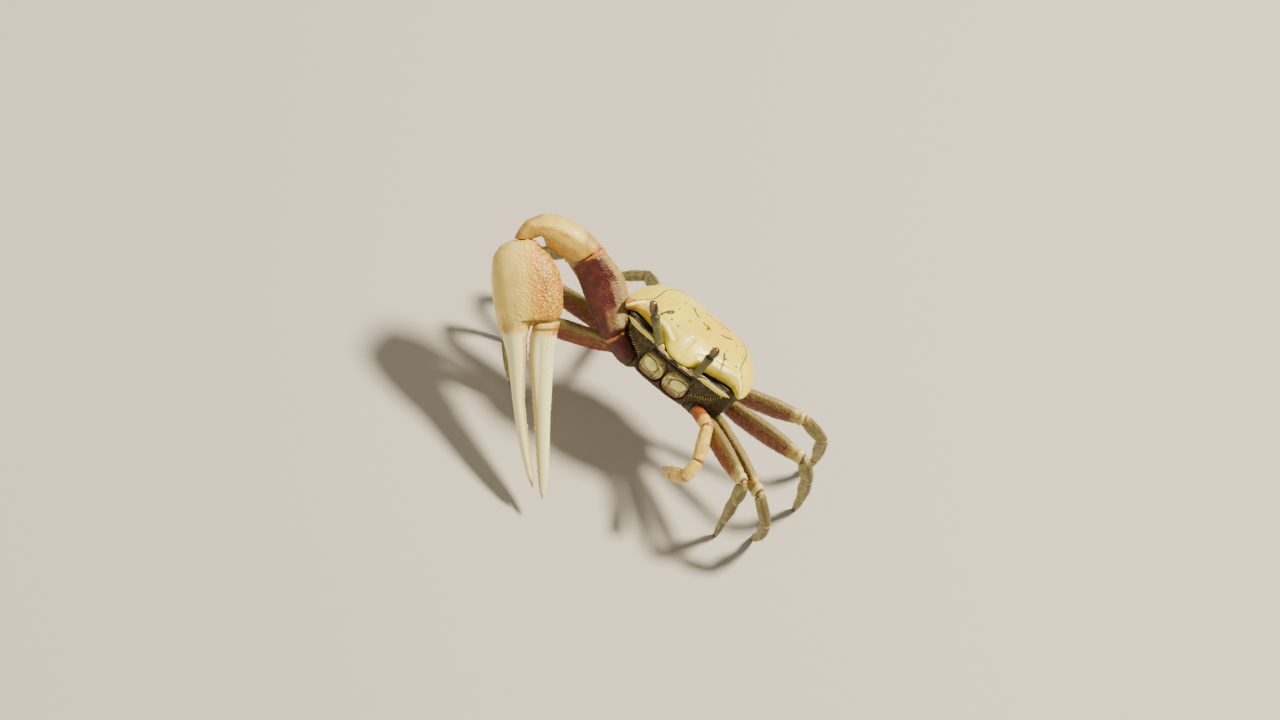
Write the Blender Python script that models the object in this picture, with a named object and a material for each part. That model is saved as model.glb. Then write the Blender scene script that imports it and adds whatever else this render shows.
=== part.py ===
"""A male fiddler crab with its great right claw held out and down, life size, as a still museum model.

Lengths are in millimetres until the last step. The crab faces -Y, its left is +X and the floor is z = 0.
The trunk is modelled in its own level frame, then pitched and rolled into its stance; the limbs run
from their hips in that frame to knees and feet that are set out from the floor.
"""
import math

import bmesh
import bpy
from mathutils import Matrix, Vector

MM = 0.001
GAP = 0.2                     # clearance between neighbouring plates

# Trunk
CARAPACE_WIDTH = 24.0         # across the widest part of the shield
FRONT_REACH = 7.3             # front lobe, ahead of the middle of the shield
BACK_REACH = 7.5
DOME = 2.7                    # height of the shield's crown above its rim
LID_UNDERSIDE = -0.9
CORE_TOP = LID_UNDERSIDE - GAP
CORE_BOTTOM = -9.4
FACE_PLANE = -4.0             # where the face parts from the thorax
RIM_HEIGHT = 25.0             # rim of the shield above the floor
PITCH = math.radians(16)      # nose up
ROLL = math.radians(8)        # right side up

# Great claw
ELBOW = Vector((-20.4, -1.3, 29.5))
WRIST = Vector((-30.0, -5.3, 29.0))
CARPUS_ARCH = Vector((-29.8, -1.8, 32.4))
CLAW_TIP = Vector((-6.6, -27.3, 4.0))
OUTER_FACE = Vector((0.12, -0.68, 0.72))

# Walking legs
SEGMENTS = ("merus", "carpus", "propodus", "dactyl")
DISTAL = (6.1, 8.0, 6.3)      # carpus, propodus and dactyl of a third leg
KNEE_ROUND = 1.6
TOE_BEND = 0.3                # bend of the last joint, as a share of the one above it
ARM_ROUND = 2.6
TIP_DEPTH = 0.45              # how far a tip would run on below the floor, before it is cut flat

LEG_SECTIONS = {              # half height and half thickness, at the start, middle and end
    "merus": ((1.2, 2.35, 1.3), (0.85, 1.0, 0.8)),
    "carpus": ((1.15, 1.4, 1.05), (0.8, 0.9, 0.75)),
    "propodus": ((1.0, 1.15, 0.75), (0.75, 0.75, 0.55)),
    "dactyl": ((0.7, 0.65, 0.34), (0.55, 0.5, 0.32)),
}

# side, hip behind the middle, hip depth, merus length, swing forward, lift, foot, size
LEGS = {
    "leg_left_1": (1, -2.5, -8.5, 16.4, 38, 10, (18.3, -10.6), 0.97),
    "leg_left_2": (1, 0.2, -8.5, 19.2, 35.5, 5, (23.2, -6.8), 1.0),
    "leg_left_3": (1, 2.9, -8.3, 18.6, 11, 9, (26.0, 2.6), 0.97),
    "leg_left_4": (1, 5.3, -7.8, 14.6, -11, 4, (23.6, 10.6), 0.92),
    "leg_right_1": (-1, -2.5, -8.5, 15.4, 14, -6, (-17.5, -9.9), 0.97),
    "leg_right_2": (-1, 0.2, -8.5, 17.0, -3, 0, (-26.0, -0.4), 1.0),
    "leg_right_3": (-1, 2.9, -8.3, 17.3, -20, 2, (-26.0, 7.6), 0.97),
    "leg_right_4": (-1, 5.9, -7.7, 13.0, -80, -25, (-21.5, 19.8), 0.87),
}
HIP_OUT = 7.6
COXA_LENGTH = 2.8

MATERIALS = {                 # colour, roughness
    "shield_cream": ((0.72, 0.62, 0.28), 0.35),
    "face_olive": ((0.12, 0.10, 0.04), 0.8),
    "mouth_cream": ((0.60, 0.53, 0.30), 0.5),
    "belly_buff": ((0.45, 0.36, 0.20), 0.6),
    "stalk_olive": ((0.14, 0.15, 0.07), 0.5),
    "cornea_brown": ((0.03, 0.02, 0.015), 0.15),
    "arm_maroon": ((0.25, 0.07, 0.03), 0.5),
    "arm_olive": ((0.42, 0.30, 0.10), 0.5),
    "claw_ivory": ((0.80, 0.68, 0.48), 0.35),
    "leg_rust": ((0.28, 0.10, 0.03), 0.55),
    "leg_olive": ((0.30, 0.24, 0.09), 0.5),
}


# ---------------------------------------------------------------- scene and objects

def clear_scene():
    for thing in list(bpy.data.objects):
        bpy.data.objects.remove(thing, do_unlink=True)


def new_collection(name):
    collection = bpy.data.collections.new(name)
    bpy.context.scene.collection.children.link(collection)
    return collection


def principled(name):
    colour, roughness = MATERIALS[name]
    material = bpy.data.materials.get(name) or bpy.data.materials.new(name)
    material.use_nodes = True
    shader = material.node_tree.nodes["Principled BSDF"]
    shader.inputs["Base Color"].default_value = (*colour, 1.0)
    shader.inputs["Roughness"].default_value = roughness
    shader.inputs["Metallic"].default_value = 0.0
    return material


def add_object(name, bm, collection, material=None):
    bmesh.ops.recalc_face_normals(bm, faces=bm.faces[:])
    mesh = bpy.data.meshes.new(name)
    bm.to_mesh(mesh)
    bm.free()
    mesh.shade_smooth()
    mesh.set_sharp_from_angle(angle=math.radians(40))
    piece = bpy.data.objects.new(name, mesh)
    collection.objects.link(piece)
    if material:
        mesh.materials.append(principled(material))
    return piece


def add_cutter(name, bm):
    cutter = add_object(name, bm, CUTTERS)
    cutter.hide_render = True
    cutter.display_type = "WIRE"
    return cutter


def combine(piece, cutter, operation):
    """Join or cut closed bodies. The exact solver loses the trunk where coxae crowd under it."""
    boolean = piece.modifiers.new(cutter.name, "BOOLEAN")
    boolean.operation = operation
    boolean.object = cutter
    boolean.solver = "MANIFOLD"


# ---------------------------------------------------------------- outlines and rings

def through(points, steps):
    """A smooth closed outline through the points, with this many steps from each to the next."""
    outline = []
    count = len(points)
    for i in range(count):
        a, b, c, d = (points[(i + k - 1) % count] for k in range(4))
        for s in range(steps):
            t = s / steps
            outline.append(tuple(
                0.5 * (2 * q + (r - p) * t + (2 * p - 5 * q + 4 * r - u) * t * t
                       + (3 * q - p - 3 * r + u) * t * t * t)
                for p, q, r, u in zip(a, b, c, d)))
    return outline


def mirrored(half):
    """The whole outline of a half that starts and ends on the middle line."""
    return half + [(-x, y) for x, y in reversed(half[1:-1])]


def loft(rings):
    """A closed body through rings of equal counts, with a flat face on each end."""
    bm = bmesh.new()
    loops = [[bm.verts.new(point) for point in ring] for ring in rings]
    for low, high in zip(loops, loops[1:]):
        for i in range(len(low)):
            j = (i + 1) % len(low)
            bm.faces.new((low[i], low[j], high[j], high[i]))
    bm.faces.new(loops[0])
    bm.faces.new(loops[-1])
    return bm


def oval(centre, long_axis, short_axis, power, count):
    """A rounded-square ring: power 2 is an ellipse, and higher is squarer."""
    ring = []
    for i in range(count):
        angle = 2 * math.pi * (i + 0.5) / count
        c = math.copysign(abs(math.cos(angle)) ** (2 / power), math.cos(angle))
        s = math.copysign(abs(math.sin(angle)) ** (2 / power), math.sin(angle))
        ring.append(centre + long_axis * c + short_axis * s)
    return ring


def between(values, f):
    """A smooth curve through the values at the start, middle and end."""
    start, middle, end = values
    return start * (1 - f) * (1 - 2 * f) + middle * 4 * f * (1 - f) + end * f * (2 * f - 1)


def cut_flat(bm, height=0.0):
    """Take away what lies below the height and close the cut with a flat."""
    geometry = bm.verts[:] + bm.edges[:] + bm.faces[:]
    bmesh.ops.bisect_plane(bm, geom=geometry, plane_co=(0, 0, height), plane_no=(0, 0, -1),
                           clear_outer=True)
    rim = [edge for edge in bm.edges if edge.is_boundary]
    bmesh.ops.holes_fill(bm, edges=rim, sides=0)


def keep_side(bm, y, outward):
    """Cut the body along a plane across the crab and keep the side away from `outward`."""
    geometry = bm.verts[:] + bm.edges[:] + bm.faces[:]
    bmesh.ops.bisect_plane(bm, geom=geometry, plane_co=(0, y, 0), plane_no=(0, outward, 0),
                           clear_outer=True)
    rim = [edge for edge in bm.edges if edge.is_boundary]
    bmesh.ops.holes_fill(bm, edges=rim, sides=0)


# ---------------------------------------------------------------- limbs as swept plates

class Station:
    """One ring's place on a limb: its centre, its direction, and how far along the plate it is."""

    def __init__(self, centre, along, fraction=0.0):
        self.centre = centre
        self.along = along.normalized()
        self.fraction = fraction


def corner_cut(joints, i, bend):
    """How far from joint i its rounded corner, of radius `bend`, starts."""
    if i == 0 or i == len(joints) - 1:
        return 0.0
    before = joints[i] - joints[i - 1]
    after = joints[i + 1] - joints[i]
    wanted = bend * math.tan(before.angle(after) / 2)
    return min(wanted, 0.35 * before.length, 0.35 * after.length)


def corner_point(joints, i, t, bend=KNEE_ROUND):
    """A point and direction on the rounded corner at joint i."""
    cut = corner_cut(joints, i, bend)
    inward = (joints[i] - joints[i - 1]).normalized()
    outward = (joints[i + 1] - joints[i]).normalized()
    start = joints[i] - inward * cut
    end = joints[i] + outward * cut
    centre = start * (1 - t) ** 2 + joints[i] * 2 * t * (1 - t) + end * t * t
    return Station(centre, inward * (1 - t) + outward * t)


def plate_stations(joints, i, straight=3, bend=KNEE_ROUND):
    """The rings of the plate between joints i and i + 1, from one mid-corner to the next."""
    start, end = joints[i], joints[i + 1]
    along = (end - start).normalized()
    first = start + along * corner_cut(joints, i, bend)
    last = end - along * corner_cut(joints, i + 1, bend)
    stations = []
    if corner_cut(joints, i, bend) > GAP:
        stations += [corner_point(joints, i, t, bend) for t in (0.5, 0.75)]
    for k in range(straight):
        stations.append(Station(first.lerp(last, k / (straight - 1)), along))
    if corner_cut(joints, i + 1, bend) > GAP:
        stations += [corner_point(joints, i + 1, t, bend) for t in (0.25, 0.5)]
    return finish_stations(stations)


def finish_stations(stations):
    """Leave half a gap at both ends and note how far along each ring is."""
    stations[0].centre = stations[0].centre + stations[0].along * GAP / 2
    stations[-1].centre = stations[-1].centre - stations[-1].along * GAP / 2
    lengths = [0.0]
    for a, b in zip(stations, stations[1:]):
        lengths.append(lengths[-1] + (b.centre - a.centre).length)
    for station, length in zip(stations, lengths):
        station.fraction = length / lengths[-1]
    return stations


def bow(stations, offset):
    """Push the middle of a plate sideways, and leave its ends where they are."""
    for station in stations:
        station.centre = station.centre + offset * math.sin(math.pi * station.fraction) ** 2


def sweep(stations, across, heights, widths, sides=8, power=2.3, swell=0.0):
    """A plate whose oval rings stand on the stations; `across` is the way its thickness runs."""
    rings = []
    for station in stations:
        thin = (across - station.along * across.dot(station.along)).normalized()
        tall = station.along.cross(thin)
        height = between(heights, station.fraction) + swell
        width = between(widths, station.fraction) + swell
        rings.append(oval(station.centre, tall * height, thin * width, power, sides))
    return loft(rings)


def straight_stations(start, end, count=3):
    along = end - start
    stations = [Station(start.lerp(end, k / (count - 1)), along) for k in range(count)]
    return finish_stations(stations)


def room_for(joints, i, across, heights, widths):
    """A straight plate a little larger than the one between two joints, to clear its neighbours."""
    return sweep(straight_stations(joints[i], joints[i + 1]), across, heights, widths, sides=12,
                 swell=2 * GAP)


# ---------------------------------------------------------------- trunk

def stance():
    """From the trunk's own level frame to the floor's."""
    lift = Matrix.Translation((0, 0, RIM_HEIGHT))
    return lift @ Matrix.Rotation(-PITCH, 4, "X") @ Matrix.Rotation(ROLL, 4, "Y")


def in_stance(bm):
    bmesh.ops.transform(bm, matrix=STANCE, verts=bm.verts[:])
    return bm


def shield_outline():
    w = CARAPACE_WIDTH / 2
    half = [(0.0, -FRONT_REACH), (1.9, -0.96 * FRONT_REACH), (2.75, -6.0), (4.6, -5.1), (8.2, -4.8),
            (0.945 * w, -5.1), (w * 0.995, -2.4), (0.94 * w, 1.6), (0.76 * w, 5.1),
            (0.5 * w, 0.95 * BACK_REACH), (0.0, BACK_REACH)]
    return through(mirrored(half), 2)


def crown_outline():
    """The shield's outline without its lobe and brows, which fade out towards the crown."""
    w = CARAPACE_WIDTH / 2
    half = [(0.0, -6.6), (2.1, -6.5), (4.1, -6.3), (6.0, -6.0), (8.2, -5.6),
            (0.9 * w, -4.6), (w * 0.985, -2.2), (0.94 * w, 1.6), (0.76 * w, 5.1),
            (0.5 * w, 0.95 * BACK_REACH), (0.0, BACK_REACH)]
    return through(mirrored(half), 2)


def rim_rise(x, y):
    """How far the rim stands above the level plane: brows arch up and the front lobe dips."""
    brow = 0.35 * math.exp(-((abs(x) - 7.5) / 3.0) ** 2) * max(0.0, -y) / 5.0
    lobe = -0.55 * math.exp(-(x / 2.4) ** 2) * max(0.0, -y) / FRONT_REACH
    return brow + lobe


def make_carapace():
    outline = shield_outline()
    smooth = crown_outline()

    def ring(t, offset, crown=0.0):
        edge = t ** 7
        points = []
        for (x, y), (u, v) in zip(outline, smooth):
            place = Vector((x * edge + u * (1 - edge), y * edge + v * (1 - edge))) * t
            points.append(Vector((*place, rim_rise(x, y) * edge + offset + crown)))
        return points

    rings = [[Vector((x * 0.93, y * 0.93, LID_UNDERSIDE)) for x, y in outline],
             ring(0.985, -0.55)]
    for t in (1.0, 0.975, 0.92, 0.82, 0.66, 0.44, 0.2):
        rings.append(ring(t, 0.0, DOME * (1 - t ** 2.6) ** 0.72))
    add_object("carapace", in_stance(loft(rings)), PARTS, "shield_cream")


CORE_LEVELS = (               # depth, then shares of the width, of the front and of the back
    (CORE_TOP, 0.97, 0.99, 0.99), (-2.2, 0.99, 1.0, 1.0), (-3.6, 1.0, 0.99, 0.99),
    (-5.0, 1.0, 0.95, 0.97), (-6.2, 0.98, 0.90, 0.94), (-7.3, 0.92, 0.85, 0.90),
    (-8.4, 0.77, 0.76, 0.83), (CORE_BOTTOM, 0.5, 0.58, 0.68),
)


def core():
    """Everything under the shield, whole, before it is parted into face and thorax."""
    w = CARAPACE_WIDTH / 2
    half = [(0.0, -6.4), (4.6, -6.3), (0.7 * w, -5.5), (0.88 * w, -3.9), (0.92 * w, 0.0),
            (0.81 * w, 4.2), (0.56 * w, 6.5), (0.0, 7.0)]
    outline = through(mirrored(half), 2)
    return loft([[Vector((x * wide, y * (front if y < 0 else back), z)) for x, y in outline]
                 for z, wide, front, back in CORE_LEVELS])


def hip(side, back, depth):
    return STANCE @ Vector((side * HIP_OUT, back, depth))


def stub(name, joints, radius, swell=0.0):
    """A short coxa from inside the thorax to the limb's root, or with a swell the room it needs."""
    if swell:
        beyond = joints[1] + (joints[1] - joints[0]).normalized() * 2 * swell
        stations = straight_stations(joints[0], beyond, 2)
    else:
        stations = plate_stations(joints, 0, 2)
    upright = STANCE.to_3x3() @ Vector((0, 0, 1))
    return add_cutter(name, sweep(stations, upright, (radius + swell,) * 3,
                                  (radius + 0.3 + swell,) * 3))


def ellipsoid(centre, radii, segments=12, rings=8):
    bm = bmesh.new()
    bmesh.ops.create_uvsphere(bm, u_segments=segments, v_segments=rings, radius=1.0)
    bmesh.ops.scale(bm, vec=radii, verts=bm.verts[:])
    bmesh.ops.translate(bm, vec=centre, verts=bm.verts[:])
    return in_stance(bm)


ORBIT = ((6.9, -6.0, -0.95), (3.9, 1.7, 0.75))
MOUTH_HALF_WIDTH = 2.1        # of one of the two plates that close the mouth
MOUTH_HALF_HEIGHT = 2.45
MOUTH_MIDDLE = (2.25, -5.5)   # out from the middle, and depth
MOUTH_LEAN = 0.25             # how far the plates run back for each millimetre down
MOUTH_LAYERS = ((-5.0, 1.0), (-5.5, 1.0), (-5.95, 0.93), (-6.25, 0.72), (-6.38, 0.4))


def make_thorax_and_face():
    thorax_body = core()
    keep_side(thorax_body, FACE_PLANE + GAP / 2, -1)
    thorax = add_object("thorax", in_stance(thorax_body), PARTS, "belly_buff")
    face_body = core()
    keep_side(face_body, FACE_PLANE - GAP / 2, 1)
    face = add_object("face", in_stance(face_body), PARTS, "face_olive")
    for name, row in LEGS.items():
        root, knee = leg_joints(*row)[0][:2]
        room = add_cutter("clear_" + name + "_merus", leg_room(root, knee, row[-1]))
        combine(thorax, room, "DIFFERENCE")
        if "_1" in name:
            combine(face, room, "DIFFERENCE")
    for name, row in LEGS.items():
        root, knee = leg_joints(*row)[0][:2]
        inner = coxa_start(root, knee, row[0])
        joints = [inner, root, knee]
        combine(thorax, stub("coxa_" + name, joints, 0.95), "UNION")
        if "_1" in name:
            combine(face, stub("clear_" + name, joints, 0.95, 2 * GAP), "DIFFERENCE")
    for name, joints, radius in (("claw_right", great_arm_joints(), 1.4),
                                 ("claw_left", minor_arm_joints(), 1.05)):
        combine(thorax, stub("coxa_" + name, joints, radius), "UNION")
        combine(face, stub("clear_" + name, joints, radius, 2 * GAP), "DIFFERENCE")
    (x, y, z), radii = ORBIT
    for side, word in ((-1, "right"), (1, "left")):
        combine(face, add_cutter("orbit_" + word, ellipsoid((side * x, y, z), radii)), "DIFFERENCE")
        combine(face, add_cutter("mouth_" + word, mouth_plate(side, GAP)), "DIFFERENCE")
    return thorax, face


def mouth_plate(side, swell=0.0):
    """One of the pair of flat plates, crowned in front, that close over the mouth."""
    x, z = MOUTH_MIDDLE
    rings = []
    shift = swell
    for y, share in MOUTH_LAYERS:
        wide = Vector((MOUTH_HALF_WIDTH * share + swell, 0, 0))
        tall = Vector((0, -MOUTH_LEAN, 1)) * (MOUTH_HALF_HEIGHT * share + swell)
        rings.append(oval(Vector((side * x, y + shift, z)), wide, tall, 3.2, 16))
        shift = -swell
    return in_stance(loft(rings))


def make_maxillipeds():
    for side, word in ((-1, "right"), (1, "left")):
        add_object("maxilliped_" + word, mouth_plate(side), PARTS, "mouth_cream")


def abdomen(swell=0.0):
    """The narrow male abdomen: it hangs from the back rim and folds forward under the belly."""
    path = [(7.45, -1.5, 3.7), (7.45, -3.0, 3.6), (7.05, -5.2, 3.3), (6.3, -7.4, 2.9),
            (4.6, -9.6, 2.4), (1.6, -9.85, 1.9), (-1.8, -9.85, 1.1)]
    rings = []
    for i, (y, z, half) in enumerate(path):
        before = path[max(i - 1, 0)]
        after = path[min(i + 1, len(path) - 1)]
        along = Vector((0, after[0] - before[0], after[1] - before[1])).normalized()
        outward = along.cross(Vector((1, 0, 0)))
        rings.append(oval(Vector((0, y, z)), Vector((half + swell, 0, 0)), outward * (0.35 + swell),
                          3.0, 12))
    return in_stance(loft(rings))


def make_abdomen(thorax):
    add_object("abdomen", abdomen(), PARTS, "belly_buff")
    combine(thorax, add_cutter("clear_abdomen", abdomen(GAP)), "DIFFERENCE")


STALKS = {                    # foot and tip of each eyestalk
    "right": (Vector((-3.7, -6.2, -0.85)), Vector((-8.7, -6.4, 4.7))),
    "left": (Vector((3.7, -6.2, -0.85)), Vector((3.9, -6.4, 5.5))),
}
CORNEA_SHARE = 0.36


def make_eyes():
    for word, (foot, tip) in STALKS.items():
        foot, tip = STANCE @ foot, STANCE @ tip
        joint = tip.lerp(foot, CORNEA_SHARE)
        across = Vector((0, 1, 0))
        stalk = sweep(straight_stations(foot, joint, 4), across, (0.72, 0.55, 0.62), (0.72, 0.55, 0.62),
                      power=2.0)
        add_object("eyestalk_" + word, stalk, PARTS, "stalk_olive")
        add_object("cornea_" + word, cornea(joint, tip), PARTS, "cornea_brown")


def cornea(joint, tip):
    along = (tip - joint).normalized()
    start = joint + along * GAP / 2
    side = along.orthogonal().normalized()
    other = along.cross(side)
    length = (tip - start).length
    rings = []
    for f, radius in ((0.0, 0.62), (0.2, 0.76), (0.5, 0.82), (0.78, 0.68), (0.94, 0.40), (1.0, 0.18)):
        rings.append(oval(start + along * length * f, side * radius, other * radius, 2.0, 10))
    return loft(rings)


# ---------------------------------------------------------------- walking legs

def bent_chain(lengths, reach):
    """Flat points of a chain that bends, less at its second joint, until its ends are `reach` apart."""
    def points(bend):
        place = Vector((0.0, 0.0))
        chain = [place]
        for length, turn in zip(lengths, (0.0, bend, (1 + TOE_BEND) * bend)):
            place = place + length * Vector((math.cos(turn), -math.sin(turn)))
            chain.append(place)
        return chain

    low, high = 0.0, math.pi * 0.6
    for _ in range(40):
        bend = (low + high) / 2
        if points(bend)[-1].length > reach:
            low = bend
        else:
            high = bend
    return points((low + high) / 2)


def leg_joints(side, back, depth, merus, swing, lift, foot, size):
    """Hip, knee, the two joints below it, and a tip just under the floor."""
    start = hip(side, back, depth)
    swing, lift = math.radians(swing), math.radians(lift)
    heading = Vector((side * math.cos(swing), -math.sin(swing), 0))
    knee = start + merus * (heading * math.cos(lift) + Vector((0, 0, math.sin(lift))))
    tip = Vector((*foot, -TIP_DEPTH))
    chord = tip - knee
    down = chord.normalized()
    outward = (heading - down * heading.dot(down)).normalized()
    chain = bent_chain([length * size for length in DISTAL], chord.length)
    turn = math.atan2(chain[-1].y, chain[-1].x)
    joints = [start]
    for point in chain[:-1]:
        x = point.x * math.cos(turn) + point.y * math.sin(turn)
        y = point.y * math.cos(turn) - point.x * math.sin(turn)
        joints.append(knee + down * x + outward * y)
    return joints + [tip], heading


def coxa_start(root, knee, side):
    """Where a coxa starts inside the thorax: behind the limb's root and nearer the middle."""
    way = (knee - root).normalized() + Vector((side, 0, 0))
    return root - way.normalized() * COXA_LENGTH


def leg_room(root, knee, size):
    """The room that a merus needs under the edge of the trunk."""
    heights, widths = LEG_SECTIONS["merus"]
    across = (knee - root).cross(Vector((0, 0, 1)))
    return room_for([root, knee], 0, across, [h * size for h in heights], [w * size for w in widths])


def make_legs():
    for name, (side, back, depth, merus, swing, lift, foot, size) in LEGS.items():
        joints, heading = leg_joints(side, back, depth, merus, swing, lift, foot, size)
        across = heading.cross(Vector((0, 0, 1)))
        for i, segment in enumerate(SEGMENTS):
            heights, widths = LEG_SECTIONS[segment]
            stations = plate_stations(joints, i, 4 if segment == "merus" else 3)
            body = sweep(stations, across, [h * size for h in heights], [w * size for w in widths])
            if segment == "dactyl":
                cut_flat(body)
            material = "leg_rust" if segment == "merus" else "leg_olive"
            add_object(name + "_" + segment, body, PARTS, material)


# ---------------------------------------------------------------- claws

GREAT_ARM = (                 # inside the thorax, root and end of the ischium, in the trunk's frame
    Vector((-3.6, -1.4, -7.3)), Vector((-5.9, -5.0, -7.3)), Vector((-10.0, -5.6, -5.3)),
)
MINOR_ARM = (
    Vector((4.2, -1.6, -6.9)), Vector((7.0, -4.9, -6.9)), Vector((10.2, -7.7, -6.2)),
)


def great_arm_joints():
    return [STANCE @ joint for joint in GREAT_ARM] + [ELBOW, CARPUS_ARCH]


GREAT_SECTIONS = {
    "ischium": ((1.7, 1.9, 1.9), (1.5, 1.6, 1.6)),
    "merus": ((2.1, 3.5, 2.7), (1.7, 2.4, 2.1)),
}
MERUS_BOW = Vector((0.7, 1.5, -1.0))    # how far the middle of the great merus bows in and back


def make_great_arm(thorax, face):
    joints = great_arm_joints()
    across = OUTER_FACE
    for i, segment in enumerate(("ischium", "merus"), start=1):
        heights, widths = GREAT_SECTIONS[segment]
        stations = plate_stations(joints, i, 4, ARM_ROUND)
        room = straight_stations(joints[i], joints[i + 1], 6)
        if segment == "merus":
            bow(stations, MERUS_BOW)
            bow(room, MERUS_BOW)
        name = "claw_right_" + segment
        add_object(name, sweep(stations, across, heights, widths, sides=12), PARTS, "arm_maroon")
        cutter = add_cutter("clear_" + name, sweep(room, across, heights, widths, sides=12,
                                                   swell=2 * GAP))
        for neighbour in (thorax, face):
            combine(neighbour, cutter, "DIFFERENCE")
    add_object("claw_right_carpus", great_carpus(), PARTS, "arm_olive")


def great_carpus():
    """The wrist plate arches up from the elbow and comes down on the palm's end."""
    stations = []
    start_way = (CARPUS_ARCH - ELBOW).normalized() + (ELBOW - great_arm_joints()[2]).normalized()
    claw_way = (CLAW_TIP - WRIST).normalized()
    steps = 7
    for k in range(steps + 1):
        t = k / steps
        centre = ELBOW * (1 - t) ** 2 + CARPUS_ARCH * 2 * t * (1 - t) + WRIST * t * t
        along = ((CARPUS_ARCH - ELBOW) * (1 - t) + (WRIST - CARPUS_ARCH) * t).normalized()
        along = along.lerp(start_way.normalized(), max(0.0, 1 - 3 * t))
        along = along.lerp(claw_way, max(0.0, 2 * t - 1))
        stations.append(Station(centre, along))
    return sweep(finish_stations(stations), OUTER_FACE, (2.5, 2.75, 1.6), (2.1, 2.5, 1.4), sides=12)


def claw_ring(u, low, high, half, power=2.4, count=16):
    """A ring of the claw: u from the wrist, low to high across towards the movable finger."""
    along = (CLAW_TIP - WRIST).normalized()
    outer = (OUTER_FACE - along * OUTER_FACE.dot(along)).normalized()
    upper = outer.cross(along)
    centre = WRIST + along * u + upper * (low + high) / 2
    return oval(centre, upper * (high - low) / 2, outer * half, power, count)


PALM = (                      # distance from the wrist, lower edge, upper edge, half thickness
    (0.1, -2.2, 1.6, 1.5), (1.0, -4.1, 2.3, 2.4), (2.6, -5.1, 3.9, 3.1), (5.5, -5.45, 5.3, 3.6),
    (8.5, -5.45, 5.6, 3.5), (10.8, -5.2, 5.45, 3.2), (12.4, -4.95, 5.0, 2.8), (12.8, -4.9, 0.5, 2.5),
)
FIXED_FINGER = (
    (15.0, -4.2, -0.4, 2.1), (18.0, -3.6, -0.6, 1.75), (21.0, -3.4, -0.95, 1.5),
    (25.0, -3.15, -1.3, 1.3), (29.0, -2.85, -1.15, 1.1), (33.0, -2.35, -0.85, 0.9),
    (36.5, -1.65, -0.6, 0.65), (38.6, -1.0, -0.5, 0.3),
)
MOVABLE_FINGER = (
    (13.1, 0.75, 4.85, 2.3), (15.0, 0.1, 4.3, 2.2), (18.0, -0.25, 3.65, 1.9), (22.0, -0.15, 3.15, 1.65),
    (27.0, 0.0, 2.6, 1.4), (32.0, 0.05, 2.2, 1.15), (36.0, 0.1, 1.8, 0.9), (38.5, 0.15, 1.35, 0.6),
    (40.4, 0.35, 0.75, 0.3),
)


def make_great_claw():
    palm = loft([claw_ring(*row) for row in PALM + FIXED_FINGER])
    add_object("claw_right_palm", palm, PARTS, "claw_ivory")
    finger = loft([claw_ring(*row, count=14) for row in MOVABLE_FINGER])
    add_object("claw_right_dactyl", finger, PARTS, "claw_ivory")


MINOR_ELBOW = Vector((11.0, -14.1, 17.0))
MINOR_WRIST = Vector((10.7, -16.6, 15.0))
MINOR_TIP = Vector((6.7, -14.0, 10.7))
MINOR_SECTIONS = {
    "ischium": ((1.15, 1.15, 1.15), (1.0, 1.0, 1.0)),
    "merus": ((1.15, 1.35, 1.1), (1.0, 1.15, 1.0)),
    "carpus": ((1.1, 1.3, 1.1), (1.0, 1.15, 1.0)),
}


def minor_arm_joints():
    return [STANCE @ joint for joint in MINOR_ARM] + [MINOR_ELBOW, MINOR_WRIST, MINOR_TIP]


def make_minor_claw(face):
    joints = minor_arm_joints()
    across = Vector((1, 0, 0))
    for i, segment in enumerate(("ischium", "merus", "carpus"), start=1):
        heights, widths = MINOR_SECTIONS[segment]
        stations = plate_stations(joints, i, 2 if segment != "merus" else 3)
        name = "claw_left_" + segment
        material = "leg_rust" if segment == "ischium" else "arm_olive"
        add_object(name, sweep(stations, across, heights, widths), PARTS, material)
        if segment == "ischium":
            room = room_for(joints, i, across, heights, widths)
            combine(face, add_cutter("clear_" + name, room), "DIFFERENCE")
    make_minor_hand(joints)


def make_minor_hand(joints):
    """A small spoon-tipped hand: the palm runs on into the fixed finger."""
    begin = corner_point(joints, 4, 0.5)
    along = (MINOR_TIP - MINOR_WRIST).normalized()
    across = Vector((1, 0, 0))
    thin = (across - along * across.dot(along)).normalized()
    tall = along.cross(thin)
    length = (MINOR_TIP - MINOR_WRIST).length
    start = begin.along.cross(thin)
    palm = [oval(begin.centre + begin.along * GAP / 2, start * 1.0, thin * 0.85, 2.3, 8)]
    for f, low, high, half in ((0.24, -1.2, 1.2, 0.95), (0.44, -1.2, 1.2, 0.9), (0.5, -1.15, -0.05, 0.8),
                               (0.75, -0.95, -0.2, 0.5), (1.0, -0.6, -0.1, 0.3)):
        centre = MINOR_WRIST + along * length * f + tall * (low + high) / 2
        palm.append(oval(centre, tall * (high - low) / 2, thin * half, 2.3, 8))
    add_object("claw_left_palm", loft(palm), PARTS, "mouth_cream")
    finger = []
    for f, low, high, half in ((0.53, 0.15, 1.15, 0.7), (0.75, 0.15, 0.95, 0.5), (1.0, 0.1, 0.6, 0.3)):
        centre = MINOR_WRIST + along * length * f + tall * (low + high) / 2
        finger.append(oval(centre, tall * (high - low) / 2, thin * half, 2.3, 8))
    add_object("claw_left_dactyl", loft(finger), PARTS, "mouth_cream")


# ---------------------------------------------------------------- assembly

def stand_on_origin():
    """Centre the whole crab over the origin, on the floor, and turn millimetres into metres."""
    points = [vertex.co for part in PARTS.objects for vertex in part.data.vertices]
    middle_x = (min(p.x for p in points) + max(p.x for p in points)) / 2
    middle_y = (min(p.y for p in points) + max(p.y for p in points)) / 2
    place = Matrix.Scale(MM, 4) @ Matrix.Translation((-middle_x, -middle_y, 0))
    for thing in list(PARTS.objects) + list(CUTTERS.objects):
        thing.data.transform(place)


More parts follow.
